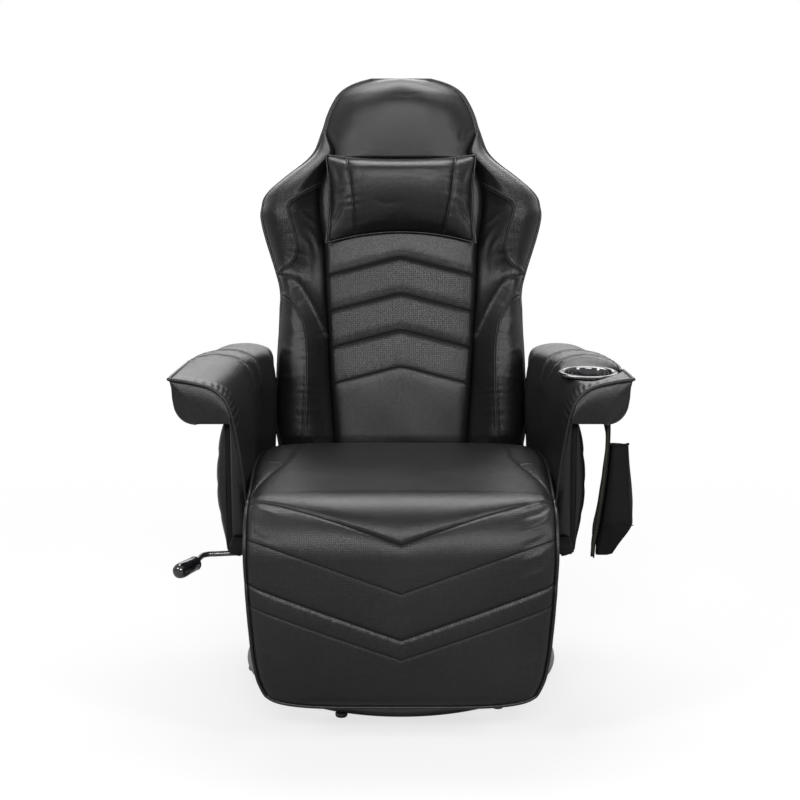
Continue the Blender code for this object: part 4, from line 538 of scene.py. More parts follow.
def pad_object(name, front, rear, uv, **marks):
    """A closed pad: a fine front sheet and a coarse rear sheet; marks become its attributes."""
    rows, columns = front.shape[:2]
    rear_rows, rear_columns = rear.shape[:2]
    points = np.concatenate([front.reshape(-1, 3), rear.reshape(-1, 3)])
    index = np.arange(rows * columns).reshape(rows, columns)
    rear_index = rows * columns + np.arange(rear_rows * rear_columns).reshape(rear_rows, rear_columns)
    faces = []
    for grid, flip in ((index, False), (rear_index, True)):
        quads = np.stack([grid[:-1, :-1], grid[:-1, 1:], grid[1:, 1:], grid[1:, :-1]], axis=-1).reshape(-1, 4)
        faces += (quads[:, ::-1] if flip else quads).tolist()
    for line, rear_line in ((index[0], rear_index[0]), (index[:, -1], rear_index[:, -1]),
                            (index[-1, ::-1], rear_index[-1, ::-1]), (index[::-1, 0], rear_index[::-1, 0])):
        for step in range(len(rear_line) - 1):
            fine = line[step * COARSE:(step + 1) * COARSE + 1].tolist()
            faces.append(fine[::-1] + [int(rear_line[step]), int(rear_line[step + 1])])
    mesh = bpy.data.meshes.new(name)
    mesh.from_pydata(points.tolist(), [], faces)
    obj = add_object(name, mesh)
    shape = bmesh.new()
    shape.from_mesh(mesh)
    bmesh.ops.recalc_face_normals(shape, faces=shape.faces)
    if shape.calc_volume(signed=True) < 0:
        bmesh.ops.reverse_faces(shape, faces=shape.faces)
    shape.to_mesh(mesh)
    shape.free()
    mesh.shade_smooth()
    all_uv = np.concatenate([uv.reshape(-1, 2), uv[::COARSE, ::COARSE].reshape(-1, 2)])
    map_uv(mesh, all_uv)
    rear_count = rear_rows * rear_columns
    for mark, values in marks.items():
        if values.ndim == 3:
            far_from_seams = np.tile([0.0, 9.0, 0.0], (rear_count, 1))
            add_mark(mesh, mark, np.concatenate([values.reshape(-1, 3), far_from_seams]))
        else:
            add_mark(mesh, mark, np.concatenate([values.ravel(), np.zeros(rear_count)]))
    return obj


def smooth_line(points, count):
    """Places at even steps along a smooth curve through the given points."""
    points = np.array(points, float)
    reach = np.concatenate([[0.0], np.cumsum(np.linalg.norm(np.diff(points, axis=0), axis=1))])
    steps = np.linspace(0.0, reach[-1], count)
    return np.stack([ease(list(zip(reach, points[:, axis])), steps) for axis in range(3)], axis=-1)


def tube(name, points, radius, closed=False, sides=4):
    """A round cord along a line of points, made a mesh with closed ends."""
    curve = bpy.data.curves.new(name, "CURVE")
    curve.dimensions = "3D"
    curve.bevel_depth = radius
    curve.bevel_resolution = sides
    curve.use_fill_caps = not closed
    spline = curve.splines.new("POLY")
    spline.points.add(len(points) - 1)
    spline.use_cyclic_u = closed
    for point, place in zip(spline.points, points):
        point.co = (*[float(value) for value in place], 1)
    obj = add_object(name, curve)
    pick(obj)
    bpy.ops.object.convert(target="MESH")
    obj = bpy.context.object
    bpy.ops.object.mode_set(mode="EDIT")
    bpy.ops.mesh.select_all(action="SELECT")
    bpy.ops.mesh.remove_doubles(threshold=0.00001)
    bpy.ops.mesh.normals_make_consistent(inside=False)
    bpy.ops.object.mode_set(mode="OBJECT")
    bpy.ops.object.shade_smooth_by_angle(angle=math.radians(50))
    return obj


def chaise_center(reach):
    """Middle line of the cushion's top by its distance from the knee's top, and the way it faces."""
    bend = np.clip(reach, 0.0, KNEE_LENGTH) / KNEE_RADIUS
    y = KNEE_Y - np.minimum(reach, 0.0) - KNEE_RADIUS * np.sin(bend)
    z = KNEE_Z + KNEE_RADIUS * np.cos(bend) - np.maximum(reach - KNEE_LENGTH, 0.0)
    return y, z, np.sin(bend), np.cos(bend)


leg_width_shares = [(0.0, 1.0), (0.2, 0.992), (0.5, 0.972), (0.7, 0.952), (0.85, 0.918), (0.94, 0.872),
                    (1.0, 0.822)]
seat_width_shares = [(0.0, 1.0), (0.69, 1.0), (0.766, 0.988), (0.825, 0.962), (0.877, 0.915), (0.939, 0.84),
                     (0.976, 0.76), (1.0, 0.68)]


def chaise_half_width(reach):
    leg_share = np.clip((reach - KNEE_LENGTH) / (CHAISE_END - KNEE_LENGTH), 0.0, 1.0)
    seat_share = np.clip(-reach / SEAT_LENGTH, 0.0, 1.0)
    return SEAT_HALF_WIDTH * ease(leg_width_shares, leg_share) * ease(seat_width_shares, seat_share)


# Each V line: its reach at the sides and at the middle, how deep it is drawn in, and its puckers
chaise_v_lines = [(0.025, 0.124, 0.0050, 0.0007), (0.1135, 0.208, 0.0014, 0.0003),
                  (0.195, 0.290, 0.0045, 0.0007), (0.2305, 0.324, 0.0018, 0.0004)]
corner_seam = [(0.195, -0.330), (0.195, -0.310), (0.1997, -0.200), (0.213, -0.140), (0.246, -0.050),
               (0.262, -0.004)]
seat_crown = [(0.0, 0.0), (0.12, 0.0048), (0.3, 0.0108), (0.5, 0.012), (0.7, 0.009), (0.85, 0.001),
              (0.95, -0.010), (1.0, -0.020)]
# Folds at the piped edges: side, where each starts and ends along the edge, and its height
edge_folds = [(1, 0.012, 0.055, 0.0026), (1, 0.040, 0.080, -0.0026), (1, 0.068, 0.105, 0.0022),
              (1, 0.092, 0.130, -0.0020), (1, 0.118, 0.155, 0.0016), (1, 0.150, 0.185, 0.0012),
              (-1, 0.030, 0.075, 0.0014), (-1, 0.080, 0.120, -0.0012), (-1, 0.290, 0.325, 0.0010),
              (1, 0.300, 0.340, 0.0012), (-1, -0.190, -0.150, 0.0012), (1, -0.180, -0.140, 0.0013)]
CORD_RADIUS = 0.0030
# How deep the cushion is on the seat and on the leg rest, its flange on the seat, its skin on the knee
SEAT_DEPTH = 0.098
LEG_DEPTH = 0.0575
SEAT_FLANGE = 0.0997
KNEE_SKIN = 0.018
FLANGE_COLUMNS = 3
V_LINE_END_X = 0.262
SEAM_HALF_WIDTH = 0.0034
# The cord's place beside the edge and over it, and the row at which it starts, clear of the bolsters
CORD_OFFSET = 0.0016
CORD_PROUD = 0.0022
CORD_START = 15


def chaise_seams():
    """The V lines, and the seam at each rear corner."""
    seams = []
    for side_reach, middle_reach, depth, pucker in chaise_v_lines:
        side_place = side_reach - 0.001
        line = [(-V_LINE_END_X, side_place), (0.0, middle_reach), (V_LINE_END_X, side_place)]
        seams.append((line, depth, SEAM_HALF_WIDTH, pucker))
    for sign in (-1, 1):
        seams.append(([(sign * a, b) for a, b in corner_seam], 0.0032, SEAM_HALF_WIDTH, 0.0006))
    return seams


def chaise_height(x, reach, share, inset):
    """Height of the top over its middle line, and where each place lies beside its seam."""
    crown = ease(seat_crown, np.clip(-reach / SEAT_LENGTH, 0.0, 1.0)) * (reach < 0)
    leg_share = np.clip((reach - KNEE_LENGTH) / (CHAISE_END - KNEE_LENGTH), 0.0, 1.0)
    belly = 0.0045 * np.sin(np.pi * leg_share) * (1 - share ** 4)
    end_fall = 0.010 * np.clip((leg_share - 0.90) / 0.10, 0, 1) ** 2.5
    edge_fall = 0.003 * np.abs(share) ** 3 + 0.0100 * np.exp(-inset / 0.0070)
    edge_fall = edge_fall + 0.0040 * np.exp(-inset / 0.022)
    sewn, seam_place = sew(x, reach, chaise_seams())
    folds = 0
    for sign, start, end, size in edge_folds:
        line = [(sign * 0.256, start), (sign * 0.232, (start + end) / 2 + 0.004), (sign * 0.196, end)]
        folds = folds + crease(x, reach, line, size, 0.0055)
    return crown + belly - end_fall - edge_fall + sewn + folds, seam_place


def chaise_bottom(last):
    """The band that turns under the leg rest from the last row of the cushion."""
    rear_y = KNEE_Y - KNEE_RADIUS + LEG_DEPTH
    bottom = []
    for back_share in np.linspace(0, 1, 9)[1:]:
        line = last.copy()
        line[:, 1] = last[:, 1] + (rear_y - last[:, 1]) * back_share
        line[:, 2] = last[:, 2] - 0.003 * math.sin(math.pi * back_share)
        bottom.append(line)
    return np.stack(bottom)


def chaise_holes(x, reach, inset):
    """Where the top is perforated: between the first and third V lines, and at the rear corners."""
    middle = np.abs(x) / V_LINE_END_X
    first = chaise_v_lines[0][1] + (chaise_v_lines[0][0] - chaise_v_lines[0][1]) * middle
    third = chaise_v_lines[2][1] + (chaise_v_lines[2][0] - chaise_v_lines[2][1]) * middle
    corner_x = np.interp(reach, [b for a, b in corner_seam], [a for a, b in corner_seam])
    knee_panel = (reach > first + 0.004) & (reach < third - 0.004)
    rear_corner = (np.abs(x) > corner_x + 0.004) & (reach < 0.0)
    return (knee_panel | rear_corner) & (inset > 0.008)


def chaise_rear(front, rear_reach):
    """Rear sheet: under the seat, inside the knee and behind the leg rest, with flanges at the sides."""
    rear = front[::COARSE, ::COARSE].copy()
    for row, reach_here in enumerate(rear_reach):
        y, z, forward, up = chaise_center(reach_here)
        flange = SEAT_FLANGE
        if reach_here >= 0:
            flange = SEAT_DEPTH + (LEG_DEPTH - SEAT_DEPTH) * min(reach_here / KNEE_LENGTH, 1.0) ** 0.5
        on_knee = -0.002 <= reach_here < KNEE_LENGTH
        skin = KNEE_SKIN if on_knee else flange
        last_column = rear.shape[1] - 1
        edge = abs(rear[row, 0, 0])
        for column in range(last_column + 1):
            from_side = min(column, last_column - column)
            deep = skin if from_side > FLANGE_COLUMNS else flange
            across = rear[row, column, 0]
            if from_side <= FLANGE_COLUMNS:
                across = math.copysign(edge - from_side * 0.004, across)
            rear[row, column] = (across, y + deep * forward, z - deep * up)
    # Its last rows stay above the bottom band
    rear[-1, :, 2] = front[-1, ::COARSE, 2] + 0.0005
    for up_from_end in range(2, 6):
        above = rear[-1, :, 2] + 0.004 + 0.003 * (up_from_end - 2)
        rear[-up_from_end, :, 2] = np.maximum(rear[-up_from_end, :, 2], above)
    return rear


def make_chaise():
    rows, band, top = 401, 12, 201
    reach_row = np.linspace(-SEAT_LENGTH, CHAISE_END, rows)
    turn = np.linspace(-1.0, 1.0, top) * 0.84 * math.pi / 2
    reach, share = np.meshgrid(reach_row, np.sin(turn) / math.sin(turn[-1]), indexing="ij")
    lift = np.clip((reach - 0.66 * CHAISE_END) / (0.34 * CHAISE_END), 0.0, 1.0)
    reach = reach - 0.016 * lift ** 2 * np.abs(share) ** 6
    half = chaise_half_width(reach)
    x = half * share
    inset = half * (1 - np.abs(share))
    height, seam_place = chaise_height(x, reach, share, inset)
    y, z, forward, up = chaise_center(reach)
    surface = np.stack([x, y - height * forward, z + height * up], axis=-1)
    proud = surface + CORD_PROUD * np.stack([0 * x, -forward, up], axis=-1)
    # Side bands: how deep they reach under the edge, a little bulged
    edge_reach = reach[:, 0]
    knee_share = np.clip(edge_reach / KNEE_LENGTH, 0.0, 1.0)
    depth = SEAT_DEPTH + (LEG_DEPTH - SEAT_DEPTH) * knee_share ** 0.5
    fall = np.linspace(1.0, 0.0, band, endpoint=False)[None, :]
    bulge = 0.004 * np.sin(np.pi * fall)
    edge_height = height[:, :1]
    band_reach = np.repeat(edge_reach[:, None], band, axis=1)
    band_height = edge_height - fall * (depth[:, None] + edge_height)
    y, z, forward, up = chaise_center(band_reach)
    right_band = np.stack([-(half[:, :1] + bulge), y - band_height * forward, z + band_height * up], axis=-1)
    left_band = right_band[:, ::-1] * np.array([-1.0, 1.0, 1.0])
    front = np.concatenate([right_band, surface, left_band], axis=1)
    front = np.concatenate([front, chaise_bottom(front[-1])], axis=0)
    extra = front.shape[0] - rows
    # Pattern map, in metres over the top and down the bands
    side_across = half[:, :1] + depth[:, None] * fall
    uv_across = np.concatenate([-side_across, x, side_across[:, ::-1]], axis=1)
    uv_along = np.concatenate([band_reach, reach, band_reach], axis=1)
    uv = np.stack([uv_across, uv_along], axis=-1)
    uv_step = np.linspace(0, 0.05, extra)[:, None, None] * np.array([0.0, 1.0])
    uv = np.concatenate([uv, uv[-1:] + uv_step], axis=0)
    holes = chaise_holes(x, reach, inset)
    holes = np.pad(holes.astype(float), ((0, extra), (band, band)))
    seam_place = np.pad(seam_place, ((0, extra), (band, band), (0, 0)))
    rear = chaise_rear(front, np.concatenate([reach_row, np.full(extra, CHAISE_END)])[::COARSE])
    # The cord stands on the edge, outside it and a little proud, and ends before the back's bolsters
    right_cord = proud[CORD_START::3, 0] - np.array([CORD_OFFSET, 0.0, 0.0])
    left_cord = proud[:CORD_START - 1:-3, -1] + np.array([CORD_OFFSET, 0.0, 0.0])
    low_cord = surface[-1, 4:-4:4] - np.array([0.0, 0.0, CORD_OFFSET])
    cord_line = np.concatenate([right_cord, low_cord, left_cord])
    cushion = pad_object("seat_and_leg_cushion", front, rear, uv, perforated=holes, seam_place=seam_place)
    return cushion, cord_line


chaise, chaise_edge = make_chaise()
settle(chaise, black_leather)
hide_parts("seat_cushion", "knee_pad", "leg_rest_pad")
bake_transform(chaise)

chaise_piping = tube("seat_piping", chaise_edge, CORD_RADIUS)
settle(chaise_piping, black_leather)
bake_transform(chaise_piping)


def make_lining():
    """Dull black non-woven cloth, as stapled under seats."""
    finish, tree, shader = new_finish("black_lining")
    shader.inputs["Specular IOR Level"].default_value = 0.08
    fibres = object_noise(tree, 900.0, 2.0)
    tree.links.new(mix_colors(tree, fibres, (0.0015, 0.0015, 0.0015), (0.0050, 0.0050, 0.0050)),
                   shader.inputs["Base Color"])
    tree.links.new(spread(tree, fibres, 0.80, 0.95), shader.inputs["Roughness"])
    add_relief(tree, shader, fibres, 0.0003, 0.5)
    return finish


black_lining = make_lining()


def soft_box(name, place, size, edge_radius, segments):
    """A box with rounded edges, placed by its middle."""
    bpy.ops.object.select_all(action="DESELECT")
    bpy.ops.mesh.primitive_cube_add(size=1.0, location=place)
    box = bpy.context.object
    box.name = name
    box.scale = size
    bpy.ops.object.transform_apply(location=False, rotation=False, scale=True)
    bpy.ops.object.mode_set(mode="EDIT")
    bpy.ops.mesh.select_all(action="SELECT")
    bpy.ops.mesh.bevel(offset=edge_radius, segments=segments, affect="EDGES")
    bpy.ops.object.mode_set(mode="OBJECT")
    bpy.ops.object.shade_smooth_by_angle(angle=math.radians(40))
    return box


# The bare front corners of the seat board, beside the cushion, are wrapped in this cloth
for side, sign in (("right", -1), ("left", 1)):
    wrap = soft_box(f"seat_board_wrap_{side}", (0.2784 * sign, -0.2660, 0.3223), (0.0356, 0.0740, 0.0180),
                    edge_radius=0.0045, segments=5)
    settle(wrap, black_lining)
    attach(wrap, "seat")


# Middle cushion of the back
# Soft foam under perforated leather, drawn in along four channels in the shape of an upturned V. Its
# foot is tucked down behind the seat, and its top lies under the head pillow.

# Places on the back are given by x, by the length s up it and by the rise n off its piped edge
LEAN = math.radians(16.0)
BACK_FOOT_Y = 0.155
BACK_FOOT_Z = 0.400
BACK_LENGTH = 0.735
SHOULDER_HALF_WIDTH = 0.281
PAD_REAR_RISE = 0.0123
EDGE_RISE = 0.0095
BACK_TUCK = 0.028
back_outline_shares = [
    (0.0, 0.875), (0.03, 0.889), (0.20, 0.889), (0.29, 0.877), (0.36, 0.861), (0.40, 0.855), (0.425, 0.862),
    (0.468, 0.891), (0.512, 0.927), (0.556, 0.963), (0.60, 0.992), (0.622, 1.0), (0.644, 0.992),
    (0.666, 0.979), (0.688, 0.937), (0.710, 0.873), (0.7325, 0.801), (0.755, 0.723), (0.777, 0.658),
    (0.797, 0.618), (0.821, 0.592), (0.843, 0.573), (0.866, 0.552), (0.888, 0.536), (0.910, 0.514),
    (0.932, 0.486), (0.955, 0.446), (0.970, 0.400), (0.982, 0.340), (0.992, 0.260), (0.998, 0.190),
    (1.0, 0.150)]
# The line where the middle cushion, and above it the headrest, meet the side bolsters: (s, x)
middle_edge = [(-0.03, 0.1315), (0.0, 0.132), (0.18, 0.141), (0.3655, 0.150), (0.540, 0.150), (0.562, 0.138),
               (0.578, 0.131), (0.590, 0.1355), (0.610, 0.145), (0.629, 0.1535)]
MIDDLE_TOP = 0.5637
BOLSTER_TOP = 0.6285


def back_place(x, s, rise):
    y = BACK_FOOT_Y + s * math.sin(LEAN) - rise * math.cos(LEAN)
    z = BACK_FOOT_Z + s * math.cos(LEAN) + rise * math.sin(LEAN)
    return np.stack([x + 0 * y, y, z], axis=-1)


def back_half_width(s):
    """Half the width inside the piping; the piping itself fills up the outline."""
    return SHOULDER_HALF_WIDTH * ease(back_outline_shares, np.clip(s / BACK_LENGTH, 0.0, 1.0)) - 0.0046


def middle_half_width(s):
    return np.minimum(ease(middle_edge, s), back_half_width(s) - 0.002)


def crowded(count):
    """Shares from 0 to 1 that crowd together at both ends."""
    return 0.5 - 0.5 * np.cos(np.pi * np.linspace(0.0, 1.0, count))


def foot_fall(s, depth):
    """How far a pad falls back at its tucked foot."""
    return depth * np.clip((0.016 - s) / (0.016 + BACK_TUCK), 0, 1) ** 1.6


channel_peaks = [0.148, 0.2205, 0.293, 0.3655]
CHANNEL_DROP = 0.037


def make_middle_cushion():
    s_rows = np.linspace(-BACK_TUCK, MIDDLE_TOP, 301)
    s, share = np.meshgrid(s_rows, 2 * crowded(133) - 1, indexing="ij")
    half = middle_half_width(s) - 0.0003
    x = half * share
    seams = []
    for number, peak in enumerate(channel_peaks):
        line = [(-0.150, peak - CHANNEL_DROP), (-0.012, peak - 0.0015), (0.0, peak), (0.012, peak - 0.0015),
                (0.150, peak - CHANNEL_DROP)]
        seams.append((line, 0.0044 if number else 0.0026, 0.0030, 0.0006))
    sewn, seam_place = sew(x, s, seams)
    # Above each channel the leather rolls down to it; below it a tight lip stands up
    rolls = 0
    for peak in channel_peaks[1:]:
        above = s - (peak - CHANNEL_DROP * np.abs(share))
        rolls = rolls - 0.0011 * np.exp(-((above - 0.006) / 0.010) ** 2)
        rolls = rolls + 0.0006 * np.exp(-((above + 0.008) / 0.006) ** 2)
    inset = half * (1 - np.abs(share))
    side_fall = 0.013 * np.exp(-inset / 0.0055) + 0.004 * np.exp(-inset / 0.020)
    top_fall = 0.010 * np.clip((s - 0.549) / 0.0150, 0, 1) ** 2
    rise = 0.0560 - 0.0030 * share ** 2 - side_fall + sewn + rolls * (1 - share ** 10)
    low_panel = np.clip((channel_peaks[0] - CHANNEL_DROP * np.abs(share) - s) / 0.150, 0, 1)
    rise = rise - foot_fall(s, 0.007) - top_fall - 0.016 * low_panel ** 1.15
    rise = rise + 0.0005 * np.sin(x * 43 + 9 * s) * np.sin(s * 37 + 1.3)
    front = back_place(x, s, rise)
    rear = back_place(x, s, PAD_REAR_RISE + 0 * rise)[::COARSE, ::COARSE]
    below_top = s - (channel_peaks[3] - CHANNEL_DROP * np.abs(share)) < -0.003
    above_low = s - (channel_peaks[0] - CHANNEL_DROP * np.abs(share)) > 0.003
    holes = (below_top & above_low & (inset > 0.008)).astype(float)
    uv = np.stack([x, s], axis=-1)
    return pad_object("middle_back_cushion", front, rear, uv, perforated=holes, seam_place=seam_place)


middle_cushion = make_middle_cushion()
settle(middle_cushion, black_leather)
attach(middle_cushion, "back")
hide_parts("back_center_pad")


# Side bolsters of the back
# Each bolster is foam under several panels: a perforated shoulder panel, a smooth flank that dips in
# towards the middle cushion, and a lower panel. Its tip runs up beside the headrest.

ridge_shares = [(-0.05, 0.47), (0.0, 0.47), (0.15, 0.43), (0.22, 0.425), (0.32, 0.50), (0.37, 0.62),
                (0.45, 0.74), (0.49, 0.62), (0.53, 0.52), (0.57, 0.52), (0.62, 0.54), (0.66, 0.46),
                (0.70, 0.36), (0.74, 0.28), (0.80, 0.24), (0.86, 0.24)]
ridge_rises = [(-0.05, 0.081), (0.0, 0.081), (0.2, 0.088), (0.37, 0.079), (0.45, 0.067), (0.53, 0.080),
               (0.62, 0.088), (0.70, 0.076), (0.74, 0.062), (0.79, 0.042), (0.82, 0.029), (0.86, 0.016)]
root_rises = [(-0.05, 0.040), (0.0, 0.040), (0.4, 0.040), (0.7, 0.040), (0.77, 0.037), (0.82, 0.025),
              (0.86, 0.014)]
shoulder_seam = [(0.130, 0.537), (0.142, 0.528), (0.180, 0.499), (0.218, 0.470), (0.2235, 0.458),
                 (0.2195, 0.438), (0.2127, 0.418), (0.2046, 0.383), (0.2085, 0.363), (0.2200, 0.348),
                 (0.2450, 0.332)]
waist_seam = [(0.250, 0.338), (0.232, 0.331), (0.213, 0.321), (0.198, 0.308), (0.177, 0.274), (0.159, 0.236),
              (0.146, 0.208)]
lower_seam = [(0.250, 0.298), (0.228, 0.290), (0.216, 0.279), (0.206, 0.266), (0.192, 0.236), (0.186, 0.200),
              (0.184, 0.163), (0.184, 0.108), (0.187, 0.018), (0.187, -0.04)]
flank_folds = [([(0.186, 0.430), (0.168, 0.400), (0.158, 0.362)], -0.0020, 0.007),
               ([(0.200, 0.452), (0.176, 0.437), (0.160, 0.418)], -0.0015, 0.006),
               ([(0.196, 0.408), (0.182, 0.388), (0.174, 0.352)], -0.0016, 0.006),
               ([(0.192, 0.372), (0.180, 0.350), (0.176, 0.322)], -0.0013, 0.006),
               ([(0.212, 0.338), (0.200, 0.330), (0.188, 0.312)], 0.0012, 0.006),
               ([(0.222, 0.246), (0.212, 0.230), (0.205, 0.205)], -0.0016, 0.006),
               ([(0.236, 0.190), (0.222, 0.180), (0.205, 0.176)], -0.0014, 0.006),
               ([(0.238, 0.130), (0.222, 0.125), (0.203, 0.128)], -0.0018, 0.006)]


def bolster_rise(share, s):
    """Rise across a bolster, from its root at the middle cushion over its ridge to the piping."""
    ridge = ease(ridge_shares, s / BACK_LENGTH)
    top = ease(ridge_rises, s / BACK_LENGTH)
    root = ease(root_rises, s / BACK_LENGTH)
    climb = np.clip(share / ridge, 0, 1)
    inner = root + (top - root) * (0.35 * climb + 0.65 * climb * climb * (3 - 2 * climb))
    fall = np.clip((share - ridge) / (1 - ridge), 0, 1)
    outer = EDGE_RISE + (top - EDGE_RISE) * np.sqrt(np.maximum(0.0, 1 - fall ** 2.5))
    return np.where(share <= ridge, inner, outer)


def make_bolster(side, sign):
    s_rows = np.linspace(-BACK_TUCK, BOLSTER_TOP, 273)
    s, share = np.meshgrid(s_rows, crowded(101), indexing="ij")
    root = middle_half_width(s) + 0.0003
    x = root + (back_half_width(s) - root) * share
    foot = 1 - 0.42 * np.clip((0.012 - s) / (0.012 + BACK_TUCK), 0, 1) ** 1.2
    rise = bolster_rise(share, s) * foot
    inset = x - root
    root_fall = 0.012 * np.exp(-inset / 0.0055) * np.interp(s, (0.560, 0.590), (1.0, 0.30))
    tip_fall = 0.005 * np.clip((s - 0.620) / 0.0085, 0, 1) ** 2
    seams = [(shoulder_seam, 0.0036, 0.0030, 0.0007), (waist_seam, 0.0042, 0.0034, 0.0009),
             (lower_seam, 0.0038, 0.0030, 0.0008)]
    sewn, seam_place = sew(x, s, seams)
    folds = 0
    for line, size, half_width in flank_folds:
        folds = folds + crease(x, s, line, size, half_width)
    surface = back_place(x, s, rise - root_fall - tip_fall)
    fade = np.clip((1 - share) / 0.05, 0, 1)
    front = raised(surface, -(sewn + folds) * fade)
    front[..., 2] = np.where(s > 0.0, front[..., 2], surface[..., 2])
    seam_x = np.interp(s, [b for a, b in shoulder_seam[::-1]], [a for a, b in shoulder_seam[::-1]])
    shoulder = (x > seam_x + 0.004) & (s > 0.345) & (s < 0.535) & (share < 0.96)
    uv = np.stack([across_surface(front, x), s], axis=-1)
    front[..., 0] *= sign
    rear = back_place(x * sign, s, PAD_REAR_RISE + 0 * s)[::COARSE, ::COARSE]
    return pad_object(f"back_bolster_{side}", front, rear, uv, perforated=shoulder.astype(float),
                      seam_place=seam_place)


for side, sign in (("left", 1), ("right", -1)):
    bolster = make_bolster(side, sign)
    settle(bolster, black_leather)
    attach(bolster, "back")
    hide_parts(f"back_wing_{side}")


# Headrest
# A firm foam pad under smooth leather closes the top of the back. Its lower corners are sewn to the
# tips of the side bolsters in short slanting seams.

HEADREST_FOOT = 0.5645
HEADREST_TOP = BACK_LENGTH - 0.0048
HEADREST_RISE = 0.0700


def make_headrest():
    climb = np.sin(np.linspace(0.0, 1.0, 93) * math.pi / 2) ** 0.9
    s_row = HEADREST_FOOT + (HEADREST_TOP - HEADREST_FOOT) * climb
    s, share = np.meshgrid(s_row, 2 * crowded(157) - 1, indexing="ij")
    tip = np.clip((s - 0.6245) / 0.004, 0, 1)
    half = middle_half_width(s) * (1 - tip) + back_half_width(s) * tip
    x = half * share
    # The pad falls to its piping, at the sides over the outline's distance, at the top over the length
    side_room = back_half_width(s) - np.abs(x)
    top_room = BACK_LENGTH - s
    side_round = 1 - np.clip(1 - side_room / 0.120, 0, 1) ** 2.3
    top_round = np.sqrt(np.maximum(0.0, 1 - np.clip(1 - top_room / 0.085, 0, 1) ** 2.4))
    full = HEADREST_RISE - 0.0175 * np.clip((0.676 - s) / 0.112, 0, 1) ** 1.4
    rise = EDGE_RISE + (full - EDGE_RISE) * side_round * top_round
    seam_room = np.where(s < 0.629, half - np.abs(x), 0.05)
    rise = rise - 0.004 * np.exp(-seam_room / 0.0045)
    folds = 0
    for line, size in [([(0.140, 0.634), (0.131, 0.616), (0.128, 0.600)], -0.0022),
                       ([(0.127, 0.626), (0.119, 0.611), (0.117, 0.598)], -0.0018),
                       ([(0.150, 0.640), (0.143, 0.628), (0.139, 0.616)], -0.0016),
                       ([(-0.140, 0.632), (-0.130, 0.614), (-0.127, 0.600)], -0.0015),
                       ([(-0.020, 0.690), (0.010, 0.686), (0.040, 0.691)], -0.0008)]:
        folds = folds + crease(x, s, line, size, 0.0045)
    front = back_place(x, s, rise + folds)
    rear = back_place(x, s, PAD_REAR_RISE + 0 * s)[::COARSE, ::COARSE]
    uv = np.stack([across_surface(front, x), s], axis=-1)
    return pad_object("headrest_cushion", front, rear, uv)


headrest = make_headrest()
settle(headrest, black_leather)
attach(headrest, "back")
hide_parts("headrest_pad")


# Rear cover and piping of the back
# The rear of the back is one leather cover over a thin pad. It is drawn round the carrier to the
# piping, which runs along the whole outline.

# From this length up, the cover's rows crowd together towards its top
COVER_CROWN = 0.66
COVER_TOP = BACK_LENGTH - 0.0035
COVER_DEPTH = 0.0330


def make_rear_cover():
    low_rows = np.linspace(0.0005, COVER_CROWN, 101)
    high_rows = COVER_CROWN + (COVER_TOP - COVER_CROWN) * np.sin(np.linspace(0, 1, 41)[1:] * math.pi / 2)
    s, share = np.meshgrid(np.concatenate([low_rows, high_rows]), 2 * crowded(113) - 1, indexing="ij")
    x = (back_half_width(s) + 0.0012) * share
    up = np.clip((s - 0.63) / (BACK_LENGTH - 0.63), 0, 1)
    round_off = np.sqrt(np.maximum(0.0, 1 - np.abs(share) ** 6)) * np.sqrt(np.maximum(0.0, 1 - up ** 3))
    seams = []
    for sign in (-1, 1):
        side_seam = [(0.150, 0.0), (0.158, 0.20), (0.150, 0.40), (0.128, 0.56), (0.104, 0.72)]
        seams.append(([(sign * a, b) for a, b in side_seam], 0.0028, 0.0034, 0.0005))
    seams.append(([(-0.150, 0.110), (0.150, 0.110)], 0.0022, 0.0034, 0.0004))
    sewn, seam_place = sew(x, s, seams)
    depth = COVER_DEPTH * round_off + sewn * (round_off > 0.5) + 0.0012 * np.sin(x * 31) * np.sin(s * 23)
    on_edge = (np.abs(share) > 0.9999) | (s > BACK_LENGTH - 0.0036)
    front = back_place(x, s, np.where(on_edge, 0.0080, -np.maximum(depth, 0.0004)))
    hollow = (np.abs(share) < 0.93) & (s < 0.70) & (round_off > 0.88)
    rear = back_place(x, s, np.where(hollow, -0.0275, -0.0003))[::COARSE, ::COARSE]
    uv = np.stack([across_surface(front, x), s], axis=-1)
    return pad_object("back_rear_cover", front, rear, uv, seam_place=seam_place)


rear_cover = make_rear_cover()
settle(rear_cover, black_leather)
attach(rear_cover, "back")
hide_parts("back_cover")

crown_s = 0.64 + (BACK_LENGTH - 0.0030 - 0.64) * np.sin(np.linspace(0, 1, 61)[1:] * math.pi / 2)
outline_s = np.concatenate([np.linspace(-0.012, 0.64, 110), crown_s])
beside_arms = np.clip((0.27 - outline_s) / 0.05, 0, 1)
left_line = back_place(back_half_width(outline_s) + 0.0020 - 0.0030 * beside_arms, outline_s,
                       0.0094 + 0 * outline_s)
right_line = left_line * np.array([-1.0, 1.0, 1.0])
back_piping = tube("back_piping", np.concatenate([left_line, right_line[::-1]]), 0.0033)
settle(back_piping, black_leather)
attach(back_piping, "back")


# Head pillow
# A separate pillow, held by hook and loop under its rear face. Piped upright seams join its middle
# panel to two end panels, a cord runs round its edge, and its foot is arched.

PILLOW_REST = 0.0553
PILLOW_FOOT = 0.392
PILLOW_LENGTH = 0.175
PILLOW_HALF_WIDTH = 0.148
pillow_fullness = [(0.0, 0.06), (0.08, 0.30), (0.20, 0.52), (0.35, 0.72), (0.50, 0.87), (0.64, 0.965),
                   (0.76, 1.0), (0.86, 0.93), (0.94, 0.66), (1.0, 0.16)]
pillow_profile = [(0.0, 1.0), (0.3, 0.99), (0.52, 0.94), (0.62, 0.86), (0.72, 0.72), (0.86, 0.46),
                  (0.96, 0.26), (1.0, 0.12)]


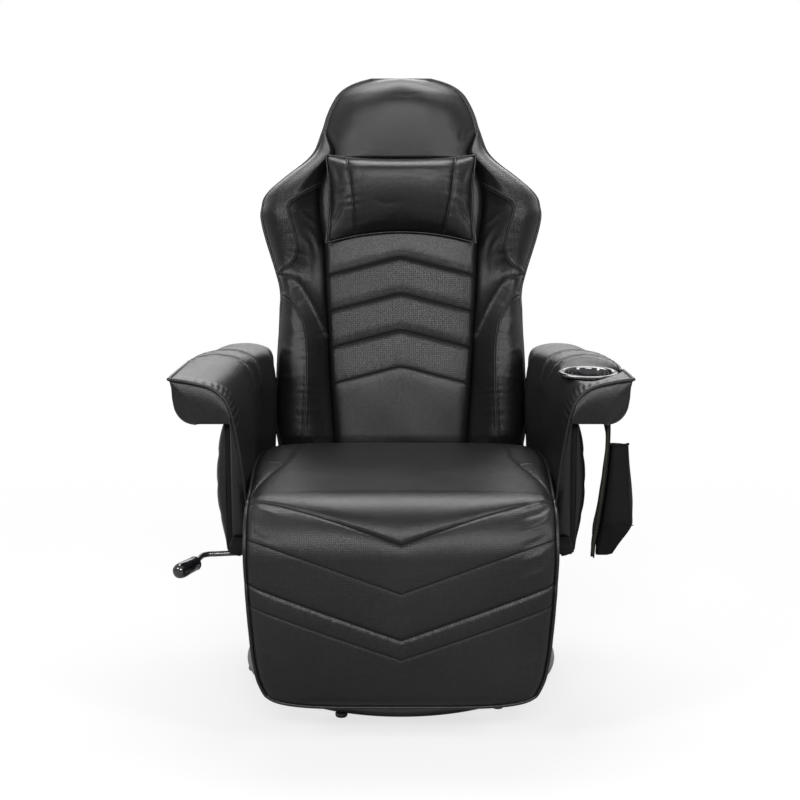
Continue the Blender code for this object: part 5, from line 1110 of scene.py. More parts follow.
def pillow_s(share, height_share):
    """Length up the back of a place on the pillow: arched foot, sagging top, corners drawn out."""
    arch = 0.022 * (1 - np.abs(share) ** 2.0) * (1 - height_share) ** 1.5
    sag = 0.010 * (1 - np.abs(share) ** 2.4) * height_share ** 1.5
    return PILLOW_FOOT + PILLOW_LENGTH * height_share + arch - sag


def pillow_x(share, height_share):
    """The ends are drawn in between their corners."""
    waist = 1 - 0.045 * np.sin(np.pi * height_share) * np.abs(share) ** 3
    return PILLOW_HALF_WIDTH * share * waist


def make_pillow():
    height_share, share = np.meshgrid(crowded(41), 2 * crowded(81) - 1, indexing="ij")
    x = pillow_x(share, height_share)
    full = ease(pillow_fullness, height_share) * ease(pillow_profile, np.abs(share))
    front = back_place(x, pillow_s(share, height_share), PILLOW_REST + 0.010 + 0.056 * full)
    rear = back_place(x * 0.97, pillow_s(share, height_share), PILLOW_REST + 0.002 + 0 * x)
    uv = np.stack([x, height_share], axis=-1)
    return pad_object("head_pillow_cover", front, rear[::COARSE, ::COARSE], uv)


def read_places(mesh):
    places = np.zeros(len(mesh.vertices) * 3)
    mesh.vertices.foreach_get("co", places)
    return places.reshape(-1, 3)


def move_places(mesh, places):
    mesh.vertices.foreach_set("co", places.ravel())
    mesh.update()


def swell(obj, cap, pressure=4.0, voxel=0.005, frames=20):
    """Give a pad an even mesh and blow it up as cloth, no point moving further than the cap.
    """
    pick(obj)
    remesh = obj.modifiers.new("even_mesh", "REMESH")
    remesh.mode = "VOXEL"
    remesh.voxel_size = voxel
    bpy.ops.object.modifier_apply(modifier=remesh.name)
    before = read_places(obj.data)
    cloth = obj.modifiers.new("cover", "CLOTH")
    cloth.settings.use_pressure = True
    cloth.settings.uniform_pressure_force = pressure
    cloth.settings.effector_weights.gravity = 0.0
    cloth.settings.quality = 5
    scene = bpy.context.scene
    for step in range(1, frames + 1):
        scene.frame_set(step)
    view = bpy.context.evaluated_depsgraph_get()
    moved = read_places(obj.evaluated_get(view).data)
    obj.modifiers.remove(cloth)
    scene.frame_set(1)
    shift = moved - before
    size = np.linalg.norm(shift, axis=1, keepdims=True)
    shift = shift * np.minimum(1.0, cap / np.maximum(size, 1e-9))
    move_places(obj.data, before + shift)


pillow = make_pillow()
swell(pillow, cap=0.0025)
fine = pillow.modifiers.new("fine", "SUBSURF")
fine.levels = 1
fine.render_levels = 1
apply_modifiers(pillow)


def back_coordinates(points):
    """x, s and rise of places in space; undoes back_place."""
    y, z = points[:, 1] - BACK_FOOT_Y, points[:, 2] - BACK_FOOT_Z
    s = y * math.sin(LEAN) + z * math.cos(LEAN)
    rise = z * math.sin(LEAN) - y * math.cos(LEAN)
    return points[:, 0], s, rise


pillow_seams = [[(-0.1090, 0.575), (-0.0960, 0.480), (-0.0870, 0.400)],
                [(0.1090, 0.575), (0.0990, 0.480), (0.0800, 0.400)]]
pillow_folds = [([(-0.060, 0.470), (-0.030, 0.462), (0.010, 0.466)], -0.0012),
                ([(0.020, 0.525), (0.052, 0.514), (0.078, 0.519)], -0.0010),
                ([(-0.140, 0.552), (-0.126, 0.530), (-0.118, 0.505)], -0.0026),
                ([(0.140, 0.552), (0.128, 0.528), (0.120, 0.503)], -0.0026),
                ([(-0.142, 0.420), (-0.126, 0.440), (-0.112, 0.470)], -0.0026),
                ([(0.142, 0.420), (0.126, 0.442), (0.112, 0.470)], -0.0026),
                ([(-0.135, 0.480), (-0.120, 0.484), (-0.108, 0.494)], -0.0016),
                ([(0.135, 0.478), (0.120, 0.484), (0.110, 0.492)], -0.0016)]


def finish_pillow(obj):
    """Keep the pillow off what it rests on, draw in its seams and add its small folds."""
    x, s, rise = back_coordinates(read_places(obj.data))
    rise = np.maximum(rise, PILLOW_REST)
    facing = np.clip((rise - PILLOW_REST - 0.012) / 0.012, 0, 1)
    sewn, seam_place = sew(x, s, [(line, 0.0050, 0.0036, 0.0010) for line in pillow_seams])
    folds = 0
    for line, size in pillow_folds:
        folds = folds + crease(x, s, line, size, 0.0055)
    rise = rise + (sewn + folds) * facing
    move_places(obj.data, back_place(x, s, rise))
    map_uv(obj.data, np.stack([x, s], axis=-1))
    add_mark(obj.data, "seam_place", seam_place)
    obj.data.shade_smooth()
    return x, s, rise


pillow_surface = finish_pillow(pillow)


def pillow_cord(name, line, radius):
    """A cord laid along a line on the pillow's front, at the height found there."""
    x, s, rise = pillow_surface
    places = []
    for a, b in line:
        gap = np.hypot(x - a, s - b)
        near = gap < max(0.006, gap.min() + 0.003)
        places.append([a, b, rise[near].max()])
    places = np.array(places)
    places[1:-1, 2] = (places[:-2, 2] + places[1:-1, 2] + places[2:, 2]) / 3
    return tube(name, back_place(places[:, 0], places[:, 1], places[:, 2] - 0.0006), radius)


pillow_cords = []
for name, line in zip(("right", "left"), pillow_seams):
    reach = np.linspace(0.085, 0.90, 50)
    cord_a = np.interp(reach, (0.0, 0.543, 1.0), [place[0] for place in line])
    cord_b = np.interp(reach, (0.0, 0.543, 1.0), [place[1] for place in line])
    pillow_cords.append(pillow_cord(f"pillow_{name}_piping", list(zip(cord_a, cord_b)), 0.0014))
round_share = np.concatenate([np.linspace(-1, 1, 61), np.ones(29), np.linspace(1, -1, 61), -np.ones(29)])
end_up = np.linspace(0, 1, 31)[1:-1]
end_down = np.linspace(1, 0, 31)[1:-1]
round_height = np.concatenate([np.zeros(61), end_up, np.ones(61), end_down])
pillow_rim = back_place(pillow_x(round_share, round_height), pillow_s(round_share, round_height),
                        PILLOW_REST + 0.0075 + 0 * round_share)
pillow_cords.append(tube("pillow_edge_piping", pillow_rim, 0.0020, closed=True))
for piece in [pillow] + pillow_cords:
    settle(piece, black_leather)
    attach(piece, "back")
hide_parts("head_pillow")


# Arms
# Each arm is a padded panel beside the seat whose top rolls out over the side. A stitched band runs
# across the top, and cords follow the front edge and the outer edge.

ARM_INNER_X = 0.262
ARM_WIDTH = 0.1386
ARM_FOOT_Z = 0.332
ARM_RISE = 0.286
ARM_FRONT_Y = -0.250
ARM_REAR_Y = 0.190
ARM_UNDER = 0.703
ARM_WEB = 0.243
ARM_CORNER = 9
ARM_INNER_REACH = 0.650
ARM_INNER_BEND = 0.25
CUP_FLAT_RADIUS = 0.0545
CUP_X, CUP_Y, CUP_RIM_Z = 0.336, -0.132, 0.597
# Sections from the foot of the inner face, over the top to its outer corner, and round to the underside
arm_front = [(0.0, 0.0), (0.072, 0.273), (0.130, 0.504), (0.180, 0.647), (0.238, 0.771), (0.317, 0.857),
             (0.483, 0.925), (0.729, 0.958), (0.900, 0.972), (0.994, 0.974), (0.980, 0.930), (0.973, 0.893),
             (0.966, 0.848), (0.940, 0.792), (0.880, 0.744), (0.795, 0.713), (0.700, 0.703)]
arm_quarter = [(0.0, 0.0), (0.025, 0.273), (0.045, 0.504), (0.065, 0.647), (0.100, 0.771), (0.175, 0.872),
               (0.330, 0.940), (0.600, 0.970), (0.820, 0.972), (0.958, 0.962), (0.980, 0.925), (0.976, 0.890),
               (0.966, 0.845), (0.935, 0.790), (0.870, 0.740), (0.780, 0.711), (0.695, 0.703)]
arm_middle = [(0.0, 0.0), (0.007, 0.273), (0.007, 0.504), (0.010, 0.647), (0.026, 0.771), (0.098, 0.885),
              (0.253, 0.950), (0.527, 0.980), (0.775, 0.970), (0.912, 0.940), (0.960, 0.895), (0.970, 0.850),
              (0.955, 0.805), (0.915, 0.765), (0.850, 0.728), (0.765, 0.708), (0.690, 0.703)]
arm_waist = [(-0.125, 0.0), (-0.140, 0.260), (-0.152, 0.440), (-0.160, 0.600), (-0.155, 0.750),
             (-0.112, 0.860), (0.010, 0.925), (0.270, 0.960), (0.570, 0.955), (0.815, 0.915),
             (0.880, 0.868), (0.900, 0.828), (0.893, 0.788), (0.865, 0.752), (0.810, 0.722), (0.745, 0.708),
             (0.680, 0.703)]
arm_rear = [(-0.070, 0.0), (-0.076, 0.260), (-0.079, 0.440), (-0.080, 0.600), (-0.080, 0.750),
            (-0.062, 0.850), (0.020, 0.905), (0.250, 0.935), (0.545, 0.926), (0.780, 0.878), (0.832, 0.846),
            (0.853, 0.816), (0.848, 0.784), (0.828, 0.755), (0.785, 0.725), (0.730, 0.708), (0.670, 0.703)]
arm_stations = [(0.0, arm_front), (0.24, arm_quarter), (0.52, arm_middle), (0.76, arm_waist),
                (0.90, arm_rear), (1.0, arm_rear)]
# The band's two seams over the arm's top, as (x, y)
band_seams = [[(0.240, -0.010), (0.262, -0.005), (0.285, 0.022), (0.310, 0.034), (0.340, 0.032),
               (0.372, 0.012), (0.404, -0.014)],
              [(0.240, -0.066), (0.262, -0.060), (0.285, -0.038), (0.310, -0.026), (0.340, -0.026),
               (0.372, -0.040), (0.404, -0.062)]]
# Gathers behind the front cord: place on the section, length and depth
arm_gathers = [(3.0, 0.040, -0.0018), (3.5, 0.046, -0.0026), (3.95, 0.048, -0.0034), (4.35, 0.048, -0.0040),
               (4.7, 0.046, -0.0044), (5.02, 0.044, -0.0044), (5.32, 0.040, -0.0040), (5.62, 0.036, -0.0034),
               (5.95, 0.032, -0.0028), (6.35, 0.034, -0.0022), (6.8, 0.036, -0.0018), (7.4, 0.040, -0.0014)]


def arm_points(columns, steps):
    """Places on the arm's skin, one section for each step from front to rear."""
    along = np.linspace(0.0, 1.0, steps)
    order = np.linspace(0.0, len(arm_front) - 1.0, columns)
    corners = np.zeros((steps, len(arm_front), 2))
    for number in range(len(arm_front)):
        for part in range(2):
            table = [(share, section[number][part]) for share, section in arm_stations]
            corners[:, number, part] = ease(table, along)
    skin = np.zeros((steps, columns, 2))
    for step in range(steps):
        for part in range(2):
            skin[step, :, part] = ease(list(enumerate(corners[step, :, part])), order)
    y = ARM_FRONT_Y + (ARM_REAR_Y - ARM_FRONT_Y) * along
    x = ARM_INNER_X + ARM_WIDTH * skin[..., 0]
    z = ARM_FOOT_Z + ARM_RISE * skin[..., 1]
    return np.stack([x, np.broadcast_to(y[:, None], x.shape), z], axis=-1)


def flatten_round_cup(skin):
    """Level the top of the arm round the cup."""
    near_cup = np.hypot(skin[..., 0] - CUP_X, skin[..., 1] - CUP_Y)
    outward = np.clip((skin[..., 0] - CUP_X) / np.maximum(near_cup, 1e-6), 0, 1)
    level = np.clip((near_cup - CUP_FLAT_RADIUS) / (0.040 - 0.0335 * outward), 0, 1)
    level = level * level * (3 - 2 * level)
    lowered = CUP_RIM_Z - 0.0004 + (skin[..., 2] - CUP_RIM_Z + 0.0004) * level
    skin[..., 2] = np.where(skin[..., 2] > CUP_RIM_Z, lowered, skin[..., 2])


def arm_inner_line(columns):
    """The line that each section is paired with: up the web's outer face, then out under the top."""
    web = np.linspace(0, 1, columns)
    past_bend = np.clip((web - ARM_INNER_BEND) / (1 - ARM_INNER_BEND), 0, 1)
    web_x = ARM_WEB + (ARM_INNER_REACH - ARM_WEB) * past_bend
    web_z = ARM_UNDER * np.clip(web / ARM_INNER_BEND, 0, 1)
    return ARM_INNER_X + ARM_WIDTH * web_x, ARM_FOOT_Z + ARM_RISE * web_z


def round_ends(skin, inner_x, inner_z):
    """The skin with its first and last rows rounded over towards the inner line."""
    body = skin.copy()
    for row in range(7):
        pull = 0.0050 * (1 - math.sqrt(1 - (1 - row / 7) ** 2))
        for target in (row, len(skin) - 1 - row):
            row_x, row_z = body[target, :, 0], body[target, :, 2]
            inward = np.stack([inner_x - row_x, 0 * inner_x, inner_z - row_z], axis=-1)
            body[target] += pull * inward / np.maximum(np.linalg.norm(inward, axis=1, keepdims=True), 1e-6)
    return body


def arm_end_face(edge, inner_x, inner_z, count, y_end, dome_size):
    """Rows of an end face, a little domed, from its edge to the inner line."""
    rows = []
    for part in np.linspace(0.0, 0.97, count + 1)[1:]:
        dome = dome_size * math.sin(math.pi * min(part, 0.97)) ** 0.7 + math.copysign(0.0012, dome_size)
        x = edge[:, 0] * (1 - part) + inner_x * part
        z = edge[:, 2] * (1 - part) + inner_z * part
        rows.append(np.stack([x, np.full(len(edge), y_end + dome), z], axis=-1))
    return np.stack(rows)


def arm_relief(sheet, on_body, across, behind):
    """Depth of the seams, gathers and padding, and where each place lies beside its seam.

    They lie on the top and the inner face only, where on_body is 1.
    """
    y_here = np.where(on_body > 0, sheet[..., 1], 9.0)
    sewn, seam_place = sew(sheet[..., 0], y_here, [(line, 0.0036, 0.0030, 0.0009) for line in band_seams])
    top = np.clip((sheet[..., 2] - 0.530) / 0.020, 0, 1) * on_body
    seam_place[..., 2] *= top > 0.5
    order = np.linspace(0.0, len(arm_front) - 1.0, sheet.shape[1])
    gathers = 0
    for place, length, size in arm_gathers:
        start, end = np.interp([place, place + 0.35], order, across[0])
        line = [(start, -0.006), ((start + end) / 2, length / 2), (end, length)]
        gathers = gathers + crease(across, behind, line, size, 0.0042) * on_body
    padding = 0.0010 * np.sin(across * 41 + 1.0) * np.sin(behind * 29 + 0.4) * on_body
    return sewn * top + gathers + padding, seam_place


def make_arm(side, sign):
    columns, steps, face_rows, rear_rows = 161, 145, 24, 16
    skin = arm_points(columns, steps)
    if side == "left":
        flatten_round_cup(skin)
    inner_x, inner_z = arm_inner_line(columns)
    body = round_ends(skin, inner_x, inner_z)
    front_face = arm_end_face(skin[0], inner_x, inner_z, face_rows, ARM_FRONT_Y, -0.007)
    rear_face = arm_end_face(skin[-1], inner_x, inner_z, rear_rows, ARM_REAR_Y, 0.008)
    sheet = np.concatenate([front_face[::-1], body, rear_face], axis=0)
    on_body = np.zeros((len(sheet), 1))
    on_body[face_rows:face_rows + steps] = 1.0
    round_front = np.concatenate([[0.0], np.cumsum(np.linalg.norm(np.diff(skin[0], axis=0), axis=1))])
    across = np.broadcast_to(round_front[None, :], sheet.shape[:2])
    behind = np.broadcast_to((sheet[:, 0, 1] - ARM_FRONT_Y)[:, None], sheet.shape[:2])
    depth, seam_place = arm_relief(sheet, on_body, across, behind)
    sheet = raised(sheet, -depth)
    # Rear sheet: the inner line, carried from the front face to the rear face
    inner_y = np.concatenate([np.full(face_rows, ARM_FRONT_Y), body[:, 0, 1], np.full(rear_rows, ARM_REAR_Y)])
    inner_y[:face_rows] += np.linspace(-0.0020, -0.0004, face_rows)
    inner_y[-rear_rows:] += np.linspace(0.0004, 0.0020, rear_rows)
    rear = np.stack([np.stack([inner_x, np.full(columns, y), inner_z], axis=-1) for y in inner_y])
    rear = rear[::COARSE, ::COARSE]
    uv = np.stack([across, behind], axis=-1)
    corner_column = round(ARM_CORNER / (len(arm_front) - 1) * (columns - 1))
    front_cord = skin[0, 2:corner_column + 1] + np.array([0.0, -0.0012, 0.0])
    rearward = np.linspace(0.0, 1.0, steps)[:, None]
    outer_cord = (skin[:, corner_column] + np.array([0.0006, 0.0, 0.0010]) * (1 - rearward))[:-14]
    for points in (sheet, rear, front_cord, outer_cord):
        points[..., 0] *= sign
    cushion = pad_object(f"arm_cushion_{side}", sheet, rear, uv, seam_place=seam_place)
    return cushion, front_cord, outer_cord


arm_cushions = {}
for side, sign in (("right", -1), ("left", 1)):
    arm_cushions[side], front_line, outer_line = make_arm(side, sign)
    for piping in (tube(f"arm_front_piping_{side}", front_line[::2], 0.0034),
                   tube(f"arm_outer_piping_{side}", outer_line[::3], 0.0028)):
        settle(piping, black_leather)
        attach(piping, "seat")


# Covers on the edges of the arm boards
# The bare edge of each board is wrapped in a strip of dull black cloth, stapled on out of sight.

BOARD_INNER_X, BOARD_OUTER_X = 0.2945, 0.3064
STRIP_MIDDLE_Z = 0.4115
STRIP_DEPTH, STRIP_HEIGHT = 0.0036, 0.2345
for side, sign in (("right", -1), ("left", 1)):
    for end, y in (("front", -0.2272), ("rear", 0.1222)):
        middle = ((BOARD_INNER_X + BOARD_OUTER_X) / 2 * sign, y, STRIP_MIDDLE_Z)
        size = (BOARD_OUTER_X - BOARD_INNER_X, STRIP_DEPTH, STRIP_HEIGHT)
        strip = soft_box(f"arm_board_{end}_strip_{side}", middle, size, edge_radius=0.0014, segments=4)
        settle(strip, black_lining)
        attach(strip, "seat")


# Cup holder
# One moulded bowl with a broad glossy rim, dropped into a pocket in the left arm.

def make_gloss_plastic():
    """Polished black plastic with the faintest orange peel."""
    return uneven_finish("gloss_plastic", 30.0, (0.004, 0.004, 0.005), (0.008, 0.008, 0.009),
                         roughness=(0.07, 0.14), relief=(260.0, 0.0002, 0.08))


gloss_plastic = make_gloss_plastic()

pocket_rings = [(0.036, CUP_RIM_Z - 0.0625), (0.0465, CUP_RIM_Z + 0.0005), (0.0465, CUP_RIM_Z + 0.04)]
hole = turned("cup_pocket", pocket_rings, CUP_X, CUP_Y)
pocket = arm_cushions["left"].modifiers.new("pocket", "BOOLEAN")
pocket.object = hole
pocket.operation = "DIFFERENCE"
pocket.solver = "EXACT"
pocket.use_self = True
apply_modifiers(arm_cushions["left"])
bpy.data.objects.remove(hole)
for side, arm in arm_cushions.items():
    settle(arm, black_leather)
    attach(arm, "seat")
    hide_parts(f"arm_pad_{side}")

cup_rings = [(0.0300, -0.0600), (0.0345, -0.0596), (0.0362, -0.0575), (0.0440, -0.0010), (0.0500, 0.0002),
             (0.0530, 0.0006), (0.0543, 0.0018), (0.0540, 0.0034), (0.0526, 0.0050), (0.0505, 0.0058),
             (0.0478, 0.0060), (0.0450, 0.0054), (0.0430, 0.0036), (0.0420, 0.0005), (0.0405, -0.0120),
             (0.0335, -0.0540), (0.0322, -0.0572), (0.0290, -0.0580)]
cup = turned("cup_bowl", [(radius, CUP_RIM_Z + z) for radius, z in cup_rings], CUP_X, CUP_Y, steps=96)
settle(cup, gloss_plastic)
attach(cup, "seat")
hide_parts("cup_holder")


# Side panels
# A padded panel hangs under each arm's top and covers the board. It bulges, and its lower edge is
# drawn in under the board and stapled there.

panel_section = [(0.0, 0.3085, 0.5300), (0.06, 0.3120, 0.5230), (0.16, 0.3180, 0.5030),
                 (0.32, 0.3235, 0.4660), (0.46, 0.3255, 0.4280), (0.60, 0.3245, 0.3860),
                 (0.72, 0.3195, 0.3480), (0.82, 0.3130, 0.3180), (0.90, 0.3068, 0.2980),
                 (0.96, 0.2940, 0.2890), (1.0, 0.2850, 0.2870)]
panel_folds = [([(-0.222, 0.480), (-0.195, 0.455), (-0.175, 0.410)], -0.0026),
               ([(-0.222, 0.430), (-0.198, 0.400), (-0.185, 0.355)], -0.0022),
               ([(-0.222, 0.372), (-0.200, 0.352), (-0.180, 0.330)], -0.0018),
               ([(0.112, 0.480), (0.085, 0.445), (0.072, 0.390)], -0.0022),
               ([(0.112, 0.400), (0.090, 0.372), (0.080, 0.335)], -0.0018),
               ([(-0.110, 0.514), (-0.040, 0.503), (0.030, 0.509)], -0.0016)]


PANEL_TOP_X = 0.3085
PANEL_FRONT_Y = -0.227
PANEL_LENGTH = 0.349
PANEL_END_ROUND = 0.020
# The inner wall: its place beside the board, where it bends in under the board, and its foot
WALL_X, WALL_LOW_Z, WALL_HIGH_Z = 0.3065, 0.2985, 0.5292
WALL_BEND = 0.88
WALL_FOOT_X, WALL_FOOT_Z = 0.2835, 0.2895


def make_side_panel(side, sign):
    rows, columns = 105, 137
    down, along = np.meshgrid(np.linspace(0, 1, rows), crowded(columns), indexing="ij")
    section_x = ease([(a, b) for a, b, c in panel_section], down)
    z = ease([(a, c) for a, b, c in panel_section], down)
    y = PANEL_FRONT_Y + PANEL_LENGTH * along
    end_room = PANEL_LENGTH * np.minimum(along, 1 - along)
    ends = np.sqrt(np.clip(1 - np.clip(1 - end_room / PANEL_END_ROUND, 0, 1) ** 2, 0, 1))
    x = np.where(section_x > PANEL_TOP_X, PANEL_TOP_X + (section_x - PANEL_TOP_X) * ends, section_x)
    folds = 0
    for line, size in panel_folds:
        folds = folds + crease(y, z, line, size, 0.007)
    x = x + folds + 0.0008 * np.sin(y * 37 + 1) * np.sin(z * 43)
    surface = np.stack([x * sign, y, z], axis=-1)
    # The inner wall: up the board's face, and level under it
    under_x = np.interp(down, (WALL_BEND, 1.0), (WALL_X, WALL_FOOT_X))
    under_z = np.interp(down, (WALL_BEND, 1.0), (WALL_LOW_Z, WALL_FOOT_Z))
    wall_x = np.where(down < WALL_BEND, WALL_X, under_x)
    wall_z = np.where(down < WALL_BEND, np.clip(z, WALL_LOW_Z, WALL_HIGH_Z), under_z)
    wall = np.stack([wall_x * sign, y, wall_z], axis=-1)[::COARSE, ::COARSE]
    uv = np.stack([y, z], axis=-1)
    return pad_object(f"side_cushion_{side}", surface, wall, uv)


for side, sign in (("right", -1), ("left", 1)):
    panel = make_side_panel(side, sign)
    settle(panel, black_leather)
    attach(panel, "seat")
    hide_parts(f"side_panel_{side}")


# Lever
# A bent steel rod in glossy black, with a round moulded grip pushed on its end.

def make_lever_steel():
    """Glossy black enamel on steel."""
    return uneven_finish("lever_steel", 50.0, (0.006, 0.006, 0.007), (0.014, 0.014, 0.015),
                         roughness=(0.10, 0.20))


lever_steel = make_lever_steel()
LEVER_Y, LEVER_Z = -0.190, 0.283
grip_angle = math.radians(25.8)
grip_direction = np.array([-math.sin(grip_angle), -math.cos(grip_angle), 0.0])
grip_start = np.array([-0.3645, -0.230, 0.27525])
rod_line = [(-0.196, LEVER_Y, LEVER_Z), (-0.235, LEVER_Y, LEVER_Z), (-0.275, LEVER_Y, LEVER_Z - 0.0006),
            (-0.330, LEVER_Y, LEVER_Z - 0.0030), (-0.347, LEVER_Y - 0.001, LEVER_Z - 0.0036),
            (-0.355, LEVER_Y - 0.006, LEVER_Z - 0.0040), (-0.359, LEVER_Y - 0.016, LEVER_Z - 0.0050),
            tuple(grip_start), tuple(grip_start + grip_direction * 0.028)]
rod = tube("lever_bar", smooth_line(rod_line, 70), 0.005, sides=6)
settle(rod, lever_steel)
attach(rod, "lever")
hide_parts("lever_rod")

grip_rings = [(0.0068, 0.0000), (0.0118, 0.0002), (0.0130, 0.0010), (0.0134, 0.0026), (0.0132, 0.0044),
              (0.0126, 0.0056), (0.0126, 0.0066), (0.0131, 0.0080), (0.0133, 0.0240), (0.0137, 0.0330),
              (0.0140, 0.0400), (0.0139, 0.0455), (0.0131, 0.0512), (0.0113, 0.0559), (0.0085, 0.0588),
              (0.0045, 0.0599), (0.0010, 0.0600)]
grip = turned("lever_handle", grip_rings, steps=64, crease_deg=50)
grip_turn = Vector(grip_direction).to_track_quat("Z", "Y").to_matrix().to_4x4()
grip.matrix_world = Matrix.Translation(Vector(grip_start)) @ grip_turn
settle(grip, gloss_plastic)
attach(grip, "lever")
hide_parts("lever_grip")


# Pouch
# An open bag of black woven fabric, sewn to a padded flap that hangs from the underside of the left
# arm. Its mouth slants down to the rear and is bound, and the bag sags into soft folds.

def weave_group():
    """Plain weave, from a UV map in metres: puts out the height of the threads."""
    group, threads = new_group("plain_weave", "Threads", ["Height"])
    place = put(group, "ShaderNodeUVMap").outputs["UV"]
    parts = put(group, "ShaderNodeSeparateXYZ", {"Vector": place})
    waves = []
    for name in ("X", "Y"):
        turn = calc(group, "MULTIPLY", parts.outputs[name], threads)
        waves.append(calc(group, "SINE", turn))
    crossed = calc(group, "MULTIPLY", waves[0], waves[1])
    put(group, "NodeGroupOutput", {"Height": spread(group, crossed, 0.0, 1.0, -1.0, 1.0)})
    return group


plain_weave = weave_group()


def make_woven(name, dark, light):
    """Woven cloth: its threads, and a slow change of tone where it is rubbed."""
    finish, tree, shader = new_finish(name)
    shader.inputs["Specular IOR Level"].default_value = 0.07
    weave = put(tree, "ShaderNodeGroup", node_tree=plain_weave)
    weave.inputs["Threads"].default_value = 3400.0
    broad = object_noise(tree, 22.0)
    rubbed = spread(tree, broad, 0.5, 1.0)
    tone = calc(tree, "MULTIPLY", weave.outputs["Height"], rubbed)
    tree.links.new(mix_colors(tree, tone, dark, light), shader.inputs["Base Color"])
    tree.links.new(spread(tree, broad, 0.72, 0.88), shader.inputs["Roughness"])
    add_relief(tree, shader, weave.outputs["Height"], 0.0004, 0.6)
    return finish


pouch_fabric = make_woven("pouch_fabric", (0.0012, 0.0012, 0.0012), (0.0050, 0.0050, 0.0048))
pouch_edge_cloth = make_woven("pouch_edge_cloth", (0.006, 0.006, 0.0045), (0.020, 0.0195, 0.0150))
POUCH_TOP_Z = 0.493
POUCH_MOUTH_FALL = 0.036
POUCH_FOOT_Z = 0.285
POUCH_CORNER_Z = 0.348
POUCH_FRONT_Y = -0.235
POUCH_DEPTH = 0.160
POUCH_SKEW = 0.022
pouch_thickness = [(0.0, 0.0610), (0.2, 0.0555), (0.41, 0.0480), (0.71, 0.0390), (1.0, 0.0330)]
flap_line = [(0.282, 0.3424), (0.310, 0.3440), (0.335, 0.3482), (0.377, 0.3543), (0.427, 0.3600),
             (0.482, 0.3645), (0.533, 0.3672)]


def flap_face(y, z):
    """X of the flap's outer face: it leans in towards its foot, and stands out below its rear end."""
    rearward = np.clip((y - POUCH_FRONT_Y) / POUCH_DEPTH, 0, 1)
    below_seam = np.clip((0.533 - z) / 0.05, 0, 1)
    return ease(flap_line, z) + POUCH_SKEW * rearward * below_seam


def pouch_bag_rings():
    """Rings round the bag, from its foot to its slanting mouth."""
    rows, count = 93, 168
    turn = np.linspace(0.0, 2 * math.pi, count, endpoint=False)
    cos, sin = np.cos(turn), np.sin(turn)
    across = np.sign(cos) * np.abs(cos) ** 0.36
    along = np.sign(sin) * np.abs(sin) ** 0.36
    rearward = (along + 1) / 2
    rings = []
    outward = (across + 1) / 2
    low = POUCH_FOOT_Z + (POUCH_CORNER_Z - POUCH_FOOT_Z) * np.clip((outward - 0.48) / 0.52, 0, 1)
    high = POUCH_TOP_Z - POUCH_MOUTH_FALL * rearward
    for share in np.linspace(0.0, 1.0, rows):
        z = low + (high - low) * share
        thick = ease(pouch_thickness, np.full(count, share)) * (1 - 0.26 * rearward)
        y = POUCH_FRONT_Y + POUCH_DEPTH / 2 + along * POUCH_DEPTH / 2
        # The front end is tucked back below the belly, with one sharp fold across it
        front_end = np.clip(-along, 0, 1) ** 4
        below = np.clip((POUCH_CORNER_Z + 0.004 * outward - z) / 0.062, 0, 1)
        y = y + front_end * 0.022 * below
        x = flap_face(y, z) + 0.0003 + outward * thick
        full = math.sin(math.pi * min(share * 1.02, 1.0))
        pleat = np.exp(-((y + 0.172 + 0.05 * (share - 0.45)) / 0.012) ** 2)
        behind = np.clip((y - POUCH_FRONT_Y) / 0.03, 0, 1)
        x = x - 0.0045 * outward * pleat * full
        x = x + 0.0022 * outward * behind * np.sin(y * 95 + 5 * share) * full
        y = y + front_end * 0.0030 * full * np.sin(outward * 7.0 + share * 3.0)
        rings.append(np.stack([x, y, z + 0.0020 * outward * share * np.cos(y * 30)], axis=-1))
    return rings


def make_pouch_bag(rings):
    """The bag's skin over its rings and its foot, with a wall inwards."""
    count = len(rings[0])
    shape = bmesh.new()
    verts = [[shape.verts.new(place) for place in ring] for ring in rings]
    for low, high in zip(verts, verts[1:]):
        for index in range(count):
            beside = (index + 1) % count
            shape.faces.new((low[index], low[beside], high[beside], high[index]))
    foot = shape.verts.new(rings[0].mean(axis=0))
    for index in range(count):
        shape.faces.new((verts[0][(index + 1) % count], verts[0][index], foot))
    uv = shape.loops.layers.uv.new("UVMap")
    for face in shape.faces:
        for loop in face.loops:
            loop[uv].uv = (loop.vert.co.y + loop.vert.co.x, loop.vert.co.z)
    mesh = bpy.data.meshes.new("pouch_sack")
    shape.to_mesh(mesh)
    shape.free()
    obj = add_object("pouch_sack", mesh)
    pick(obj)
    bpy.ops.object.mode_set(mode="EDIT")
    bpy.ops.mesh.select_all(action="SELECT")
    bpy.ops.mesh.normals_make_consistent(inside=False)
    bpy.ops.object.mode_set(mode="OBJECT")
    wall = obj.modifiers.new("wall", "SOLIDIFY")
    wall.thickness = 0.0022
    wall.offset = -1.0
    apply_modifiers(obj)
    obj.data.shade_smooth()
    return obj


pouch_rings = pouch_bag_rings()
pouch_bag = make_pouch_bag(pouch_rings)
mouth_line = pouch_rings[-1][::2] + np.array([0, 0, -0.0016])
mouth_binding = tube("pouch_mouth_binding", mouth_line, 0.0021, closed=True)
# A bound seam runs down the bag's front outer corner
corner_line = np.array([ring[np.argmax(ring[:, 0] - ring[:, 1])] for ring in pouch_rings[2:-1:2]])
corner_binding = tube("pouch_corner_binding", corner_line, 0.0010)
